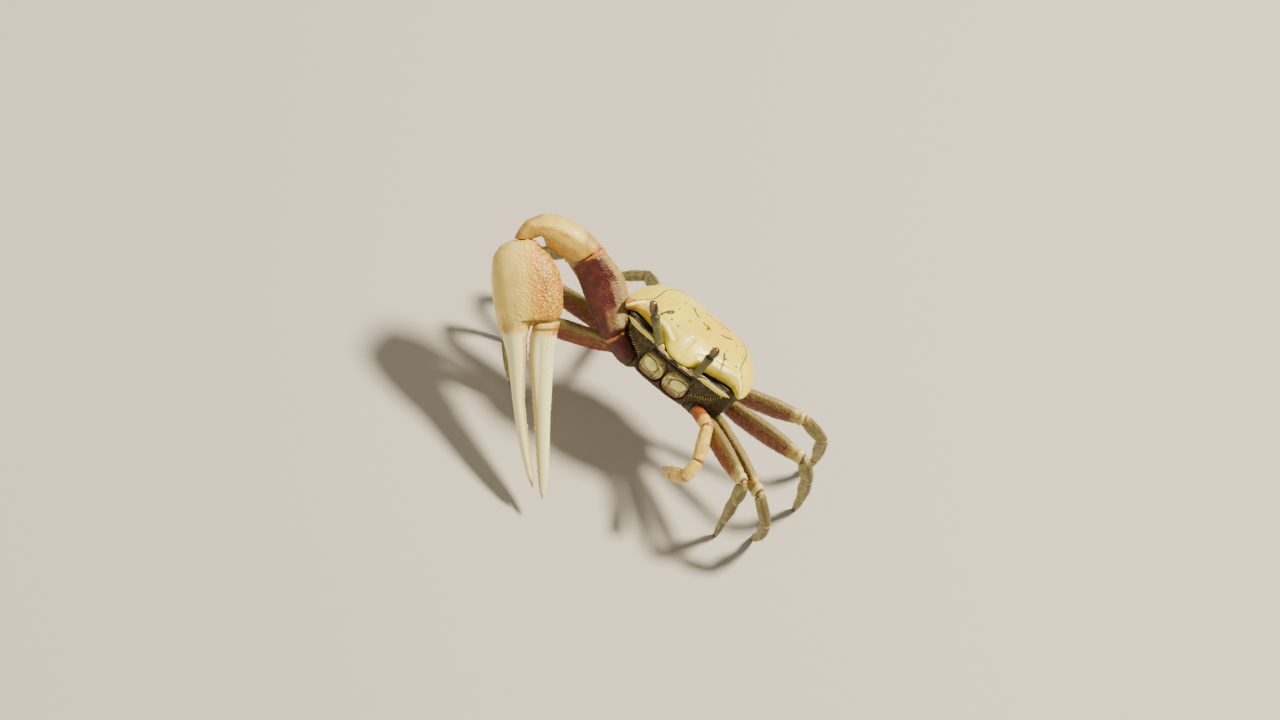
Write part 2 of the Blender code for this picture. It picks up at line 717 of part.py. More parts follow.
clear_scene()
PARTS = new_collection("fiddler_crab")
CUTTERS = new_collection("cutters")
STANCE = stance()
make_carapace()
THORAX, FACE = make_thorax_and_face()
make_maxillipeds()
make_abdomen(THORAX)
make_eyes()
make_legs()
make_great_arm(THORAX, FACE)
make_great_claw()
make_minor_claw(FACE)
stand_on_origin()
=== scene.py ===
"""Looks of a male fiddler crab: shell, eyes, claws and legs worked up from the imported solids.

Every shell piece starts as a dense, smoothed copy of its own solid. It is then carved in arrays:
granules, rims, grooves and rows of teeth move its points, and the same masks are kept as
attributes, which the materials read. Lengths inside the arrays are in millimetres.
"""
import itertools
import math

import bmesh
import bpy
import numpy as np
from mathutils import Matrix, Vector, kdtree


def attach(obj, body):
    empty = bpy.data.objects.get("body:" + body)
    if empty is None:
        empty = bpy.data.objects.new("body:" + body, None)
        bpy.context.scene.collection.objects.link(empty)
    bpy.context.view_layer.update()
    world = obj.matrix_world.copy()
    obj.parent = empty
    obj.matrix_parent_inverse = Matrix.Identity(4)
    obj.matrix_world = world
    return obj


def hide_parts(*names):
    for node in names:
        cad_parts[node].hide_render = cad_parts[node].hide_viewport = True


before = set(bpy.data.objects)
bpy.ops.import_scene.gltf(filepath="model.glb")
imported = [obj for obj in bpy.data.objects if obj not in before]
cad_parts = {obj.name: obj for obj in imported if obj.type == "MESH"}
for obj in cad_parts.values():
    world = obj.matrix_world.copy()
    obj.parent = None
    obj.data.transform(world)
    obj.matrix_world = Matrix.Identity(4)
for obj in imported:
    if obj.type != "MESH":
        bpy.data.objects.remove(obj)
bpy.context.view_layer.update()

MM = 0.001
BODY = "root"
UP = (0.0, 0.0, 1.0)
SIDES = ((-1, "right"), (1, "left"))    # the sign of x on each side of the trunk

# The trunk's own frame: x to the crab's left, y to its back, z up from the rim of the shield
PITCH = math.radians(16)
ROLL = math.radians(8)
FRONT_REACH = 7.3             # front lobe, ahead of the frame's origin
LID_DEPTH = 0.9               # underside of the shield, below it
AXES = np.array(Matrix.Rotation(-PITCH, 3, "X") @ Matrix.Rotation(ROLL, 3, "Y"))

COARSE = 1.0


# ---- where things are

def read(items, field, width, kind=float):
    """One property of every vertex or edge, as the rows of an array."""
    values = np.empty(len(items) * width, kind)
    items.foreach_get(field, values)
    return values.reshape(-1, width)


def placed(name, data):
    """A new object at the origin, linked to the scene."""
    thing = bpy.data.objects.new(name, data)
    bpy.context.scene.collection.objects.link(thing)
    return thing


def node_points(node):
    """The points of a CAD node, in millimetres."""
    return read(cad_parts[node].data.vertices, "co", 3) / MM


def trunk_origin():
    """The middle of the shield's rim, worked back from the shield's own extent."""
    points = node_points("carapace") @ AXES
    low, high = points.min(0), points.max(0)
    centre = np.array([(low[0] + high[0]) / 2, low[1] + FRONT_REACH, low[2] + LID_DEPTH])
    return AXES @ centre


TRUNK = trunk_origin()


def to_trunk(points):
    return (np.asarray(points) - TRUNK) @ AXES


def from_trunk(points):
    return TRUNK + np.asarray(points) @ AXES.T


def unit(vector):
    vector = np.asarray(vector, float)
    return vector / np.linalg.norm(vector)


def ramp(low, high, values):
    """A smooth rise from 0 at low to 1 at high."""
    t = np.clip((values - low) / (high - low), 0, 1)
    return t * t * (3 - 2 * t)


def hump(values, middle, width):
    """A smooth hump of height 1 round the middle."""
    return np.exp(-((values - middle) / width) ** 2)


# ---- dense skins

class Skin:
    """A dense surface as arrays: points in millimetres, quads, and named values at each point."""

    def __init__(self, mesh):
        self.points = read(mesh.vertices, "co", 3)
        self.faces = [tuple(p.vertices) for p in mesh.polygons]
        self.quads = np.array([face for face in self.faces if len(face) == 4])
        self.edges = read(mesh.edges, "vertices", 2, int)
        self.degree = np.bincount(self.edges.ravel(), minlength=len(self.points))
        self.values = {}

    def blurred(self, field, rounds):
        """A field at the points, after this many half-way moves to the neighbours' mean."""
        a, b = self.edges.T
        count = len(self.points)
        flat = field.reshape(count, -1)
        for _ in range(rounds):
            total = np.empty_like(flat)
            for k in range(flat.shape[1]):
                total[:, k] = np.bincount(a, flat[b, k], count) + np.bincount(b, flat[a, k], count)
            flat = 0.5 * flat + 0.5 * total / self.degree[:, None]
        return flat.reshape(field.shape)

    def smooth(self, rounds):
        """Melt the solid's facets into one round surface, then give back what that shrank."""
        soft = self.blurred(self.points, rounds)
        self.points = soft + self.blurred(self.points - soft, rounds)

    def normals(self):
        corners = self.points[self.quads]
        face = np.cross(corners[:, 2] - corners[:, 0], corners[:, 3] - corners[:, 1])
        total = np.zeros_like(self.points)
        for k in range(3):
            for c in range(4):
                total[:, k] += np.bincount(self.quads[:, c], face[:, k], len(self.points))
        return total / np.maximum(np.linalg.norm(total, axis=1), 1e-9)[:, None]

    def push(self, height):
        """Move each point out along its normal."""
        self.points = self.points + self.normals() * np.asarray(height)[:, None]

    def set(self, **masks):
        """Keep named values from 0 to 1 at the points, for the material to read."""
        for name, values in masks.items():
            self.values[name] = np.clip(np.broadcast_to(values, len(self.points)), 0, 1)


def dense_skin(node, voxel, soften):
    """An even, fine mesh of a solid, with ridges finer than `soften` millimetres melted away."""
    voxel = voxel * COARSE
    mesh = bpy.data.meshes.new("solid")
    bm = bmesh.new()
    bm.from_mesh(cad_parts[node].data)
    bmesh.ops.remove_doubles(bm, verts=bm.verts, dist=MM * 0.001)
    bmesh.ops.scale(bm, vec=(1 / MM,) * 3, verts=bm.verts)
    bm.to_mesh(mesh)
    bm.free()
    piece = placed("solid", mesh)
    remesh = piece.modifiers.new("remesh", "REMESH")
    remesh.mode = "VOXEL"
    remesh.voxel_size = voxel
    graph = bpy.context.evaluated_depsgraph_get()
    dense = bpy.data.meshes.new_from_object(piece.evaluated_get(graph))
    skin = Skin(dense)
    bpy.data.objects.remove(piece)
    bpy.data.meshes.remove(mesh)
    bpy.data.meshes.remove(dense)
    skin.smooth(max(2, round(4 * (soften / voxel) ** 2)))
    return skin


def finish_piece(name, skin, material, nodes=()):
    """The skin as a shaded mesh object at the origin, riding on the body in place of its solids."""
    mesh = bpy.data.meshes.new(name)
    mesh.from_pydata((skin.points * MM).tolist(), [], skin.faces)
    for key, values in skin.values.items():
        attribute = mesh.attributes.new(key, "FLOAT", "POINT")
        attribute.data.foreach_set("value", values.astype(np.float32))
    mesh.shade_smooth()
    mesh.materials.append(material)
    piece = placed(name, mesh)
    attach(piece, BODY)
    if nodes:
        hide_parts(*nodes)


def finish_shell(node, skin, material):
    """The skin of one solid, in that solid's place."""
    finish_piece(node + "_shell", skin, material, [node])


# ---- carving

def varied(rng, found):
    """Sizes from 0.7 to 1.3 of the usual one."""
    return 0.7 + 0.6 * rng.random(len(found))


def scattered(skin, mask, spacing, seed):
    """Points of the skin where the mask holds, thinned until they are about `spacing` apart."""
    rng = np.random.default_rng(seed)
    chosen = np.flatnonzero(rng.random(len(mask)) < mask)
    rng.shuffle(chosen)
    taken, kept = {}, []
    around = list(itertools.product((-1, 0, 1), repeat=3))
    for i in chosen:
        p = skin.points[i]
        a, b, c = np.floor(p / spacing).astype(int)
        near = [q for da, db, dc in around for q in taken.get((a + da, b + db, c + dc), ())]
        if all((p[0] - q[0]) ** 2 + (p[1] - q[1]) ** 2 + (p[2] - q[2]) ** 2 > spacing ** 2
               for q in near):
            taken.setdefault((a, b, c), []).append(p)
            kept.append(i)
    return np.array(kept, int)


def nearest(points, centres):
    """Distance from each point to the nearest centre, and which one it is."""
    tree = kdtree.KDTree(len(centres))
    for i, centre in enumerate(centres):
        tree.insert(centre, i)
    tree.balance()
    found = [tree.find(p) for p in points]
    return np.array([f[2] for f in found]), np.array([f[1] for f in found])


def knobs(skin, centres, radius, height):
    """Raise a round knob at each centre, and return how far up its knob each point is."""
    if not len(centres):
        return np.zeros(len(skin.points))
    distance, which = nearest(skin.points, centres)
    radius = np.broadcast_to(radius, len(centres))[which]
    height = np.broadcast_to(height, len(centres))[which]
    rise = np.clip(1 - (distance / radius) ** 2, 0, 1) ** 1.5
    skin.push(rise * height)
    return rise


def granulate(skin, *beds):
    """Raise granules in beds of (mask, spacing, size, height, seed), and return how far up one
    each point is."""
    rise = np.zeros(len(skin.points))
    for mask, spacing, size, height, seed in beds:
        found = scattered(skin, mask, spacing, seed)
        scale = varied(np.random.default_rng(seed + 1), found)
        rise = np.maximum(rise, knobs(skin, skin.points[found], size * scale, height * scale))
    return rise


def line_points(corners, step):
    """Points every `step` along a smooth open curve through the corners."""
    corners = [np.array(c, float) for c in corners]
    ends = [2 * corners[0] - corners[1], *corners, 2 * corners[-1] - corners[-2]]
    found = []
    for a, b, c, d in zip(ends, ends[1:], ends[2:], ends[3:]):
        count = max(1, int(np.linalg.norm(c - b) / step))
        for s in range(count):
            t = s / count
            found.append(0.5 * (2 * b + (c - a) * t + (2 * a - 5 * b + 4 * c - d) * t * t
                                + (3 * b - a - 3 * c + d) * t ** 3))
    found.append(corners[-1])
    return np.array(found)


# ---- limbs

class Limb:
    """One limb segment's own axes: along it, up its back edge, and across its flat side."""

    def __init__(self, node, before, across):
        self.node = node
        self.points = points = node_points(node)
        self.centre = centre = points.mean(0)
        along = np.linalg.svd(points - centre, full_matrices=False)[2][0]
        if (centre - before) @ along < 0:
            along = -along
        self.along = along
        self.across = unit(across - along * (across @ along))
        self.back = np.cross(self.across, along)
        reach = (points - centre) @ along
        self.length = reach.max() - reach.min()
        self.start = centre + along * reach.min()
        self.half_height = np.abs((points - centre) @ self.back).max()
        self.half_width = np.abs((points - centre) @ self.across).max()

    def place(self, points):
        """How far along (0 to 1), how far up to the back edge, and how far across (-1 to 1)."""
        offset = points - self.start
        return (offset @ self.along / self.length, offset @ self.back / self.half_height,
                offset @ self.across / self.half_width)

    def section(self, end):
        """Centre and half sizes close to the segment's start (0) or its end (1)."""
        along = self.place(self.points)[0]
        near = self.points[along > 0.9] if end else self.points[along < 0.1]
        offset = near - near.mean(0)
        return near.mean(0), np.abs(offset @ self.back).max(), np.abs(offset @ self.across).max()


def chain(names, before, across):
    """The axes of a limb's segments, in order from the body out."""
    limbs = []
    for name in names:
        limbs.append(Limb(name, before, across))
        before = limbs[-1].centre
    return limbs


def limb_skin(limb, voxel, soften):
    """A segment's dense skin, and where its points are on the segment."""
    skin = dense_skin(limb.node, voxel, soften)
    return skin, *limb.place(skin.points)


# ---- materials

def linear(colour):
    """An sRGB hex colour in the linear values that shaders take."""
    parts = [int(colour[i:i + 2], 16) / 255 for i in (1, 3, 5)]
    return (*[c / 12.92 if c <= 0.04045 else ((c + 0.055) / 1.055) ** 2.4 for c in parts], 1.0)


def add(tree, kind, settings=(), links=()):
    """Add a node with its properties and input values, and link what feeds its inputs."""
    node = tree.nodes.new(kind)
    for name, value in dict(settings).items():
        if isinstance(name, str) and name not in node.inputs:
            setattr(node, name, value)
        else:
            node.inputs[name].default_value = value
    for name, source in dict(links).items():
        socket = source if isinstance(source, bpy.types.NodeSocket) else source.outputs[0]
        tree.links.new(socket, node.inputs[name])
    return node


MIX_A, MIX_B, MIX_RESULT = 6, 7, 2      # the colour sockets of a Mix node
CHITIN_IOR = 1.54
GLOW_DEPTH, GLOW_REACH = 0.6 * MM, (1.0, 0.6, 0.3)      # deepest in red, as in thin shell
COAT_ROUGHNESS = 0.12


def shell(name, base, layers=(), roughness=0.4, grain=0.25, relief=0.02, glow=0.0, coat=0.0):
    """A shell finish. Each layer is (colour, attribute or None, patch size in mm, ragged, low,
    high, amount): it covers the base where the attribute, roughened by patches, rises from low to
    high. Grain and relief are the size and depth in millimetres of the fine pits."""
    material = bpy.data.materials.new(name)
    material.use_nodes = True
    tree = material.node_tree
    shader = tree.nodes["Principled BSDF"]
    place = add(tree, "ShaderNodeTexCoord").outputs["Object"]
    colour = None
    for index, (tint, attribute, patch, ragged, low, high, amount) in enumerate(layers):
        moved = add(tree, "ShaderNodeMapping", {"Location": (index * 0.37, index * 0.11, 0)},
                    {"Vector": place})
        noise = add(tree, "ShaderNodeTexNoise", {"Scale": 1 / (patch * MM), "Detail": 3.0},
                    {"Vector": moved})
        value = noise
        if attribute:
            zone = add(tree, "ShaderNodeAttribute", {"attribute_name": attribute}).outputs["Fac"]
            shifted = add(tree, "ShaderNodeMath", {"operation": "SUBTRACT", 1: 0.5}, {0: noise})
            value = add(tree, "ShaderNodeMath", {"operation": "MULTIPLY_ADD", 1: ragged},
                        {0: shifted, 2: zone})
        mask = add(tree, "ShaderNodeMapRange",
                   {"interpolation_type": "SMOOTHSTEP", "From Min": low, "From Max": high,
                    "To Max": amount}, {"Value": value})
        mixed = add(tree, "ShaderNodeMix",
                    {"data_type": "RGBA", MIX_A: linear(base), MIX_B: linear(tint)},
                    {0: mask, MIX_A: colour} if colour else {0: mask})
        colour = mixed.outputs[MIX_RESULT]
    tree.links.new(colour, shader.inputs["Base Color"])
    pits = add(tree, "ShaderNodeTexNoise", {"Scale": 1 / (grain * MM), "Detail": 4.0},
               {"Vector": place})
    bump = add(tree, "ShaderNodeBump", {"Strength": 1.0, "Distance": relief * MM}, {"Height": pits})
    uneven = add(tree, "ShaderNodeMapRange",
                 {"To Min": roughness - 0.08, "To Max": roughness + 0.1}, {"Value": pits})
    tree.links.new(bump.outputs[0], shader.inputs["Normal"])
    tree.links.new(uneven.outputs[0], shader.inputs["Roughness"])
    for socket, value in (("Subsurface Weight", glow), ("Subsurface Scale", GLOW_DEPTH),
                          ("Subsurface Radius", GLOW_REACH), ("Coat Weight", coat),
                          ("Coat Roughness", COAT_ROUGHNESS), ("IOR", CHITIN_IOR)):
        shader.inputs[socket].default_value = value
    return material


# Wet-looking, calcified shield: smooth, a little translucent, with brown pigment under the surface,
# and painted shade in dark brown on its underside below the rim
SHIELD = shell("calcified_shell_cream", "#f0d01e", (
    ("#faee3c", None, 5.0, 0, 0.45, 0.65, 0.8),
    ("#dfb436", "back_zone", 3.0, 0.5, 0.35, 0.9, 0.7),
    ("#a9683a", "tooth_zone", 0.9, 0.6, 0.45, 0.9, 0.85),
    ("#faf08c", "rim", 0.6, 0.3, 0.4, 0.7, 0.8),
    ("#b98d3f", None, 0.4, 0, 0.68, 0.78, 0.45),
    ("#7d571c", "fleck", 0.25, 0.5, 0.35, 0.65, 1.0),
    ("#5f3f14", "stroke", 0.2, 0.4, 0.32, 0.62, 1.0),
    ("#57471f", "edge_line", 0.25, 0.7, 0.45, 0.75, 0.95),
    # painted shade: dark brown on the shield's underside, below its rim
    ("#3d2c16", "underside", 1.0, 0.4, 0.5, 0.8, 1.0),
), roughness=0.34, grain=0.5, relief=0.012, glow=0.08, coat=0.12)
# Downy shell of the face: dark, matt, paler where it is rubbed bare, with painted shade near-black
# in the mouth slit, the hollows behind the socket lips and the cheek grooves
FACE = shell("downy_shell_olive", "#3a3018", (
    ("#6b5f36", None, 0.6, 0, 0.48, 0.68, 0.85),
    # painted shade: near-black in the mouth slit
    ("#120d07", "slit", 0.5, 0.3, 0.3, 0.6, 1.0),
    ("#cfc28c", "ridge", 0.4, 0.6, 0.45, 0.8, 0.95),
    ("#a58f5c", "sill", 0.5, 0.6, 0.4, 0.8, 0.85),
    # painted shade: near-black in the hollows behind the socket lips and in the cheek grooves
    ("#17110a", "hollow", 0.8, 0.3, 0.3, 0.8, 0.95),
    ("#4b2414", "low", 1.2, 0.5, 0.4, 0.8, 0.85),
), roughness=0.7, grain=0.18, relief=0.06)
# Bare lip of the eye socket: clean cream shell over the dark face, with painted shade on its
# downward side
LIP = shell("bare_shell_lip", "#f8e85c", (
    # painted shade: dark on the lip's downward-facing side
    ("#40361f", "under", 0.5, 0.5, 0.35, 0.6, 1.0),
    ("#cdb858", None, 0.5, 0, 0.5, 0.7, 0.6),
), roughness=0.3, grain=0.3, relief=0.015, glow=0.1, coat=0.2)
# Mouth plates: off-white, brown towards the bottom and the middle line, with olive in the seams
MOUTH = shell("mouth_plate_shell", "#d8c474", (
    ("#a88f4c", None, 0.5, 0, 0.45, 0.65, 0.7),
    ("#fbf594", "pale", 0.6, 0.6, 0.3, 0.75, 1.0),
    ("#6f4a26", "low", 0.9, 0.7, 0.45, 0.95, 0.9),
    ("#4c4322", "seam", 0.3, 0.4, 0.35, 0.7, 0.95),
), roughness=0.42, grain=0.3, relief=0.03, glow=0.08, coat=0.1)
# Underside: duller shell with mud in its seams, and painted shade in dark olive on its front and
# side faces and just below the shield's edge
BELLY = shell("belly_shell_buff", "#7e6b40", (
    ("#9c8854", None, 1.6, 0, 0.45, 0.65, 0.7),
    # seams, and a band just under the shield's edge that is painted shade
    ("#4a3a20", "seam", 0.5, 0.5, 0.4, 0.75, 0.9),
    ("#4f2414", "low", 2.0, 0.5, 0.35, 0.8, 0.9),
    # painted shade: dark olive on the front and side faces, under the shield's overhang
    ("#3d331b", "side", 1.0, 0.5, 0.3, 0.7, 0.95),
), roughness=0.55, grain=0.25, relief=0.04)
# Eyestalks: smooth grey-green horn
STALK = shell("eyestalk_horn", "#5c582c", (
    ("#7a7440", None, 0.6, 0, 0.45, 0.65, 0.7),
    ("#3f371c", "along", 0.5, 0.3, 0.7, 1.0, 0.85),
), roughness=0.35, grain=0.2, relief=0.015, coat=0.2)
# Compound eye: brown, glossy, a fine grain of facets far smaller than a millimetre, with a painted
# highlight on its upper front side
EYE = shell("compound_eye_brown", "#3a2412", (
    # painted highlight: paler tan on the eye's upper front side
    ("#8a6a3e", "crown", 0.5, 0.5, 0.55, 1.1, 0.8),
    ("#1c110a", "collar", 0.4, 0.3, 0.4, 0.8, 1.0),
), roughness=0.22, grain=0.07, relief=0.012, coat=0.6)
# Inner side of the great arm: dark maroon skin of the shell, going orange at the joints, with olive
# and yellow on its upward faces, partly the shell's own colour and partly painted sunlight
ARM = shell("arm_shell_maroon", "#471407", (
    ("#6b260e", None, 1.2, 0, 0.45, 0.7, 0.8),
    # partly painted sunlight: olive, then yellow, on the faces turned up
    ("#7f6330", "crest", 0.9, 0.6, 0.3, 0.8, 1.0),
    ("#c4a04c", "crest", 0.8, 0.6, 0.7, 1.2, 0.75),
    ("#a08654", "granule", 0.5, 0.2, 0.3, 0.9, 0.6),
    ("#c9792f", "joint", 0.7, 0.5, 0.5, 0.85, 0.9),
), roughness=0.48, grain=0.2, relief=0.03, glow=0.03, coat=0.06)
# Wrist: olive-yellow shell under a fine shagreen, with painted sunlight on its upper faces and
# painted shade on its lower ones
WRIST = shell("wrist_shell_olive", "#bd932c", (
    ("#d9b040", None, 1.5, 0, 0.42, 0.62, 0.8),
    # painted sunlight: brighter yellow on the faces turned up
    ("#f0d258", "sunny", 1.4, 0.6, 0.4, 0.9, 0.85),
    # painted shade: dark olive-brown on the faces turned down
    ("#7c6029", "shade", 1.4, 0.6, 0.4, 0.9, 0.85),
    ("#e0c67c", "granule", 0.4, 0.2, 0.3, 0.95, 0.5),
    ("#c65a1e", "joint", 0.7, 0.7, 0.5, 0.95, 0.9),
    ("#6f4f22", None, 0.4, 0, 0.66, 0.76, 0.55),
), roughness=0.42, grain=0.2, relief=0.03, glow=0.06, coat=0.12)
# Great palm and fingers: ivory enamel, tan where the knobs are, with painted shade in brown along
# the fingers' facing edges
CLAW = shell("claw_enamel_ivory", "#edcb5e", (
    ("#fae380", None, 4.0, 0, 0.42, 0.62, 0.85),
    ("#e2a226", "tan", 1.6, 0.6, 0.35, 0.9, 0.95),
    ("#935c16", "tan", 0.45, 0.9, 0.75, 1.15, 0.85),
    ("#fad24c", "granule", 0.4, 0.2, 0.35, 0.95, 0.8),
    ("#9a6c34", "smudge", 0.8, 0.9, 0.5, 0.9, 0.6),
    ("#8a5c30", "hinge", 0.35, 0.6, 0.4, 0.75, 0.85),
    ("#fdf7b2", "finger", 1.5, 0.3, 0.4, 0.8, 0.95),
    # painted shade: brown along the edges where the two fingers face each other
    ("#b98f52", "edge", 0.6, 0.5, 0.5, 0.9, 0.65),
    ("#8f7148", "tip", 0.8, 0.4, 0.5, 0.95, 0.9),
), roughness=0.42, grain=0.35, relief=0.015, glow=0.06, coat=0.04)
# Upper legs: thin dull shell, rust-red in front, olive-grey above, a yellow band at the knee
LEG = shell("leg_shell_rust", "#702f12", (
    ("#985a26", None, 0.6, 0, 0.42, 0.66, 0.85),
    ("#52230f", "rear", 1.2, 0.4, 0.5, 0.9, 0.7),
    ("#8c7a42", "crest", 0.7, 1.1, 0.25, 0.95, 0.95),
    ("#ad9a5e", "granule", 0.4, 0.3, 0.4, 0.95, 0.6),
    ("#c7b25e", "band", 0.6, 0.8, 0.45, 1.0, 0.95),
    ("#dccb84", "knee", 0.5, 0.2, 0.4, 0.8, 0.95),
    ("#4f2c15", "seam", 0.3, 0.3, 0.4, 0.8, 0.9),
), roughness=0.5, grain=0.2, relief=0.035, glow=0.03)
# Lower legs: thin dull shell, olive-yellow, browner to the tips
SHIN = shell("leg_shell_olive", "#7d723a", (
    ("#a29856", None, 0.9, 0, 0.42, 0.65, 0.85),
    ("#5c4c26", "crest", 0.8, 0.5, 0.45, 0.9, 0.7),
    ("#6a4022", "rear", 1.0, 0.6, 0.5, 1.0, 0.6),
    ("#cdb96c", "band", 0.5, 0.3, 0.45, 0.8, 0.95),
    ("#4c3018", "toe", 0.8, 0.4, 0.4, 1.0, 0.9),
), roughness=0.5, grain=0.2, relief=0.035, glow=0.03)
# Small claw: thin, faintly shining yellow shell
HAND = shell("small_claw_shell", "#deb23e", (
    ("#f0d76e", None, 0.8, 0, 0.42, 0.62, 0.8),
    ("#b4702c", "joint", 0.5, 0.6, 0.4, 0.95, 0.85),
    ("#9a4420", "root", 0.6, 0.6, 0.3, 0.8, 0.95),
    ("#a5823a", "crest", 0.6, 0.5, 0.5, 0.9, 0.7),
    ("#6a4020", "tip", 0.5, 0.4, 0.5, 0.9, 0.9),
), roughness=0.42, grain=0.2, relief=0.02, glow=0.08, coat=0.1)
# Soft skin in the joints: finely wrinkled and damp
PALE_SKIN = shell("joint_skin_pale", "#b98d4a", (
    ("#94562c", None, 0.5, 0, 0.45, 0.7, 0.7),
), roughness=0.4, grain=0.12, relief=0.04, glow=0.15, coat=0.3)
DARK_SKIN = shell("joint_skin_dark", "#5e3a1e", (
    ("#84602e", None, 0.5, 0, 0.45, 0.7, 0.7),
), roughness=0.45, grain=0.12, relief=0.04, glow=0.1, coat=0.2)
# Setae: stiff chitin hairs, some of them paler, which keeps the fringes from reading as one mass
DARK_HAIR = shell("setae_dark", "#5c4a26", (
    ("#8f7a46", None, 0.6, 0, 0.4, 0.7, 0.9),
), roughness=0.5)
PALE_HAIR = shell("setae_pale", "#a8965c", (
    ("#dccf9c", None, 0.5, 0, 0.4, 0.7, 0.9),
), roughness=0.45)


# ---- shield

SHIELD_DOTS = ((-4.6, -0.4), (-3.1, -3.7), (-4.5, -3.4), (-4.4, 2.3), (-2.2, -1.4), (5.9, 2.1),
               (5.2, -0.9), (7.7, 1.2), (7.8, -2.1), (3.2, -2.6), (2.4, 3.1), (6.6, 3.6))
SHIELD_STROKES = (
    ((-6.3, -3.6), (-5.9, -2.9), (-5.4, -2.1), (-5.0, -1.9), (-5.1, -2.4), (-5.6, -2.9)),
    ((5.1, -2.0), (5.6, -2.9), (6.0, -3.7), (6.2, -4.2)),
    ((5.6, -2.9), (5.9, -2.6)),
    ((-2.9, 2.4), (-2.3, 1.7), (-1.6, 1.3)),
    ((3.0, 1.3), (3.8, 1.7), (4.6, 2.4)),
    ((-0.4, 0.8), (0.1, 0.5), (0.5, 0.8), (0.8, 0.2), (0.7, -0.2)),
    ((0.6, 0.8), (1.2, 0.6)),
    ((-0.9, 3.5), (0.5, 3.7), (2.0, 3.9), (3.6, 4.3)),
)
MARGIN_LINE = ((11.2, -4.8), (10.5, -3.4), (9.4, -2.4), (8.7, -1.7), (8.4, -0.7), (8.2, 0.8),
               (7.9, 2.8), (6.9, 4.6), (5.4, 5.5))
LOBE_GROOVE = ((0.0, -6.6), (0.0, -5.4), (0.0, -4.0))
NECK_GROOVES = (((-3.4, -2.6), (-2.6, -0.9), (-1.7, 0.6), (-2.0, 2.2)),
                ((-1.7, 0.6), (0.0, 0.95), (1.7, 0.6)),
                ((3.4, -2.6), (2.6, -0.9), (1.7, 0.6), (2.0, 2.2)))
# Gentle swellings of the shield over the organs: middle x and y, width, depth and rise
SWELLINGS = ((0.0, -2.2, 2.4, 1.6, 0.14), (6.2, -1.2, 2.2, 2.4, 0.1), (0.0, 3.0, 1.7, 1.6, 0.1),
             (5.4, 3.4, 2.4, 1.8, 0.08))
BROW = ((2.5, -5.8), (3.4, -5.35), (4.7, -4.75), (6.2, -4.35), (7.6, -3.65), (8.8, -3.1),
        (9.6, -3.05), (10.4, -3.9), (11.2, -5.2))
CURVE_STEP = 0.08             # between the points that stand for a curve, in millimetres
BEAD_STEP = 0.42              # from bead to bead along the shield's margin
OUT_OF_REACH = 50.0           # sets the shield's lower side aside in a search in plan
# How far the front edge is drawn back over an eye socket, against the distance from the middle line
NOTCH_AT = (4.4, 5.6, 7.2, 8.4, 9.4, 10.3, 10.9, 11.4, 12.5)
NOTCH = (0.0, 0.2, 0.65, 1.1, 1.35, 0.7, 0.0, -0.45, -0.1)


def notch(points, front, back):
    """Trunk points with those ahead of `back` drawn back by the notch, in full from `front` on."""
    x, y, z = points.T
    depth = np.interp(np.abs(x), NOTCH_AT, NOTCH) * ramp(back, front, y)
    return np.column_stack([x, y + depth, z])


def plan_points(lines, step):
    """Points every `step` along smooth curves in plan."""
    return np.vstack([line_points([(*c, 0.0) for c in line], step) for line in lines])


def flat_distance(points, centres):
    """Distance in plan from each point to the nearest centre."""
    return nearest(np.column_stack([points[:, :2], np.zeros(len(points))]), centres)[0]


def curve_distance(points, *lines):
    return flat_distance(points, plan_points(lines, CURVE_STEP))


def mirrored(corners, side):
    return [(side * x, *rest) for x, *rest in corners]


def both_sides(corners):
    return [mirrored(corners, side) for side in (1, -1)]


def make_shield():
    skin = dense_skin("carapace", 0.13, 0.42)
    points = notch(to_trunk(skin.points), -4.6, -1.9)
    skin.points = from_trunk(points)
    x, y, z = points.T
    up = ramp(0.15, 0.5, skin.normals() @ AXES[:, 2])
    margin = curve_distance(points, *both_sides(MARGIN_LINE))
    brow = curve_distance(points, *both_sides(BROW))
    relief = 0.07 * hump(margin, 0, 0.16) - 0.05 * hump(margin, 0.35, 0.2)
    for line in NECK_GROOVES:
        relief -= 0.09 * hump(curve_distance(points, line), 0, 0.45)
    relief -= 0.14 * hump(curve_distance(points, LOBE_GROOVE), 0, 0.35)
    for at_x, at_y, wide, deep, rise in SWELLINGS:
        relief += rise * hump(np.abs(x), at_x, wide) * hump(y, at_y, deep)
    relief += 0.12 * hump(brow, 0, 0.22) - 0.07 * hump(brow, 0.5, 0.25)
    skin.push(relief * up)
    beads = plan_points(both_sides(MARGIN_LINE), BEAD_STEP)
    upper_side = np.column_stack([x, y, np.where(up > 0.5, 0.0, OUT_OF_REACH)])
    beaded = knobs(skin, skin.points[nearest(beads, upper_side)[1]], 0.17, 0.06)
    dots = flat_distance(points, [(*dot, 0.0) for dot in SHIELD_DOTS])
    corner = np.hypot(np.abs(x) - 11.0, y + 4.8)
    skin.set(fleck=ramp(0.32, 0.08, dots) * up,
             stroke=ramp(0.26, 0.06, curve_distance(points, *SHIELD_STROKES)) * up,
             edge_line=np.maximum(0.75 * ramp(0.28, 0.05, margin), beaded) * up,
             rim=ramp(0.45, 0.1, brow) * up, back_zone=ramp(2.0, 8.0, y) * up,
             tooth_zone=ramp(3.2, 0.5, corner) * np.where(x < 0, 1.0, 0.45),
             # the painted shade under the shield's rim
             underside=ramp(-0.3, -0.8, z))
    finish_piece("shield_shell", skin, SHIELD, ["carapace"])


make_shield()


# ---- small shapes

END_SHARE = 0.05              # width of a closed tube's end against its last ring


def skin_of(points, faces):
    """A Skin from bare points in millimetres and quads."""
    mesh = bpy.data.meshes.new("bare")
    mesh.from_pydata([tuple(p) for p in points], [], faces)
    skin = Skin(mesh)
    bpy.data.meshes.remove(mesh)
    return skin


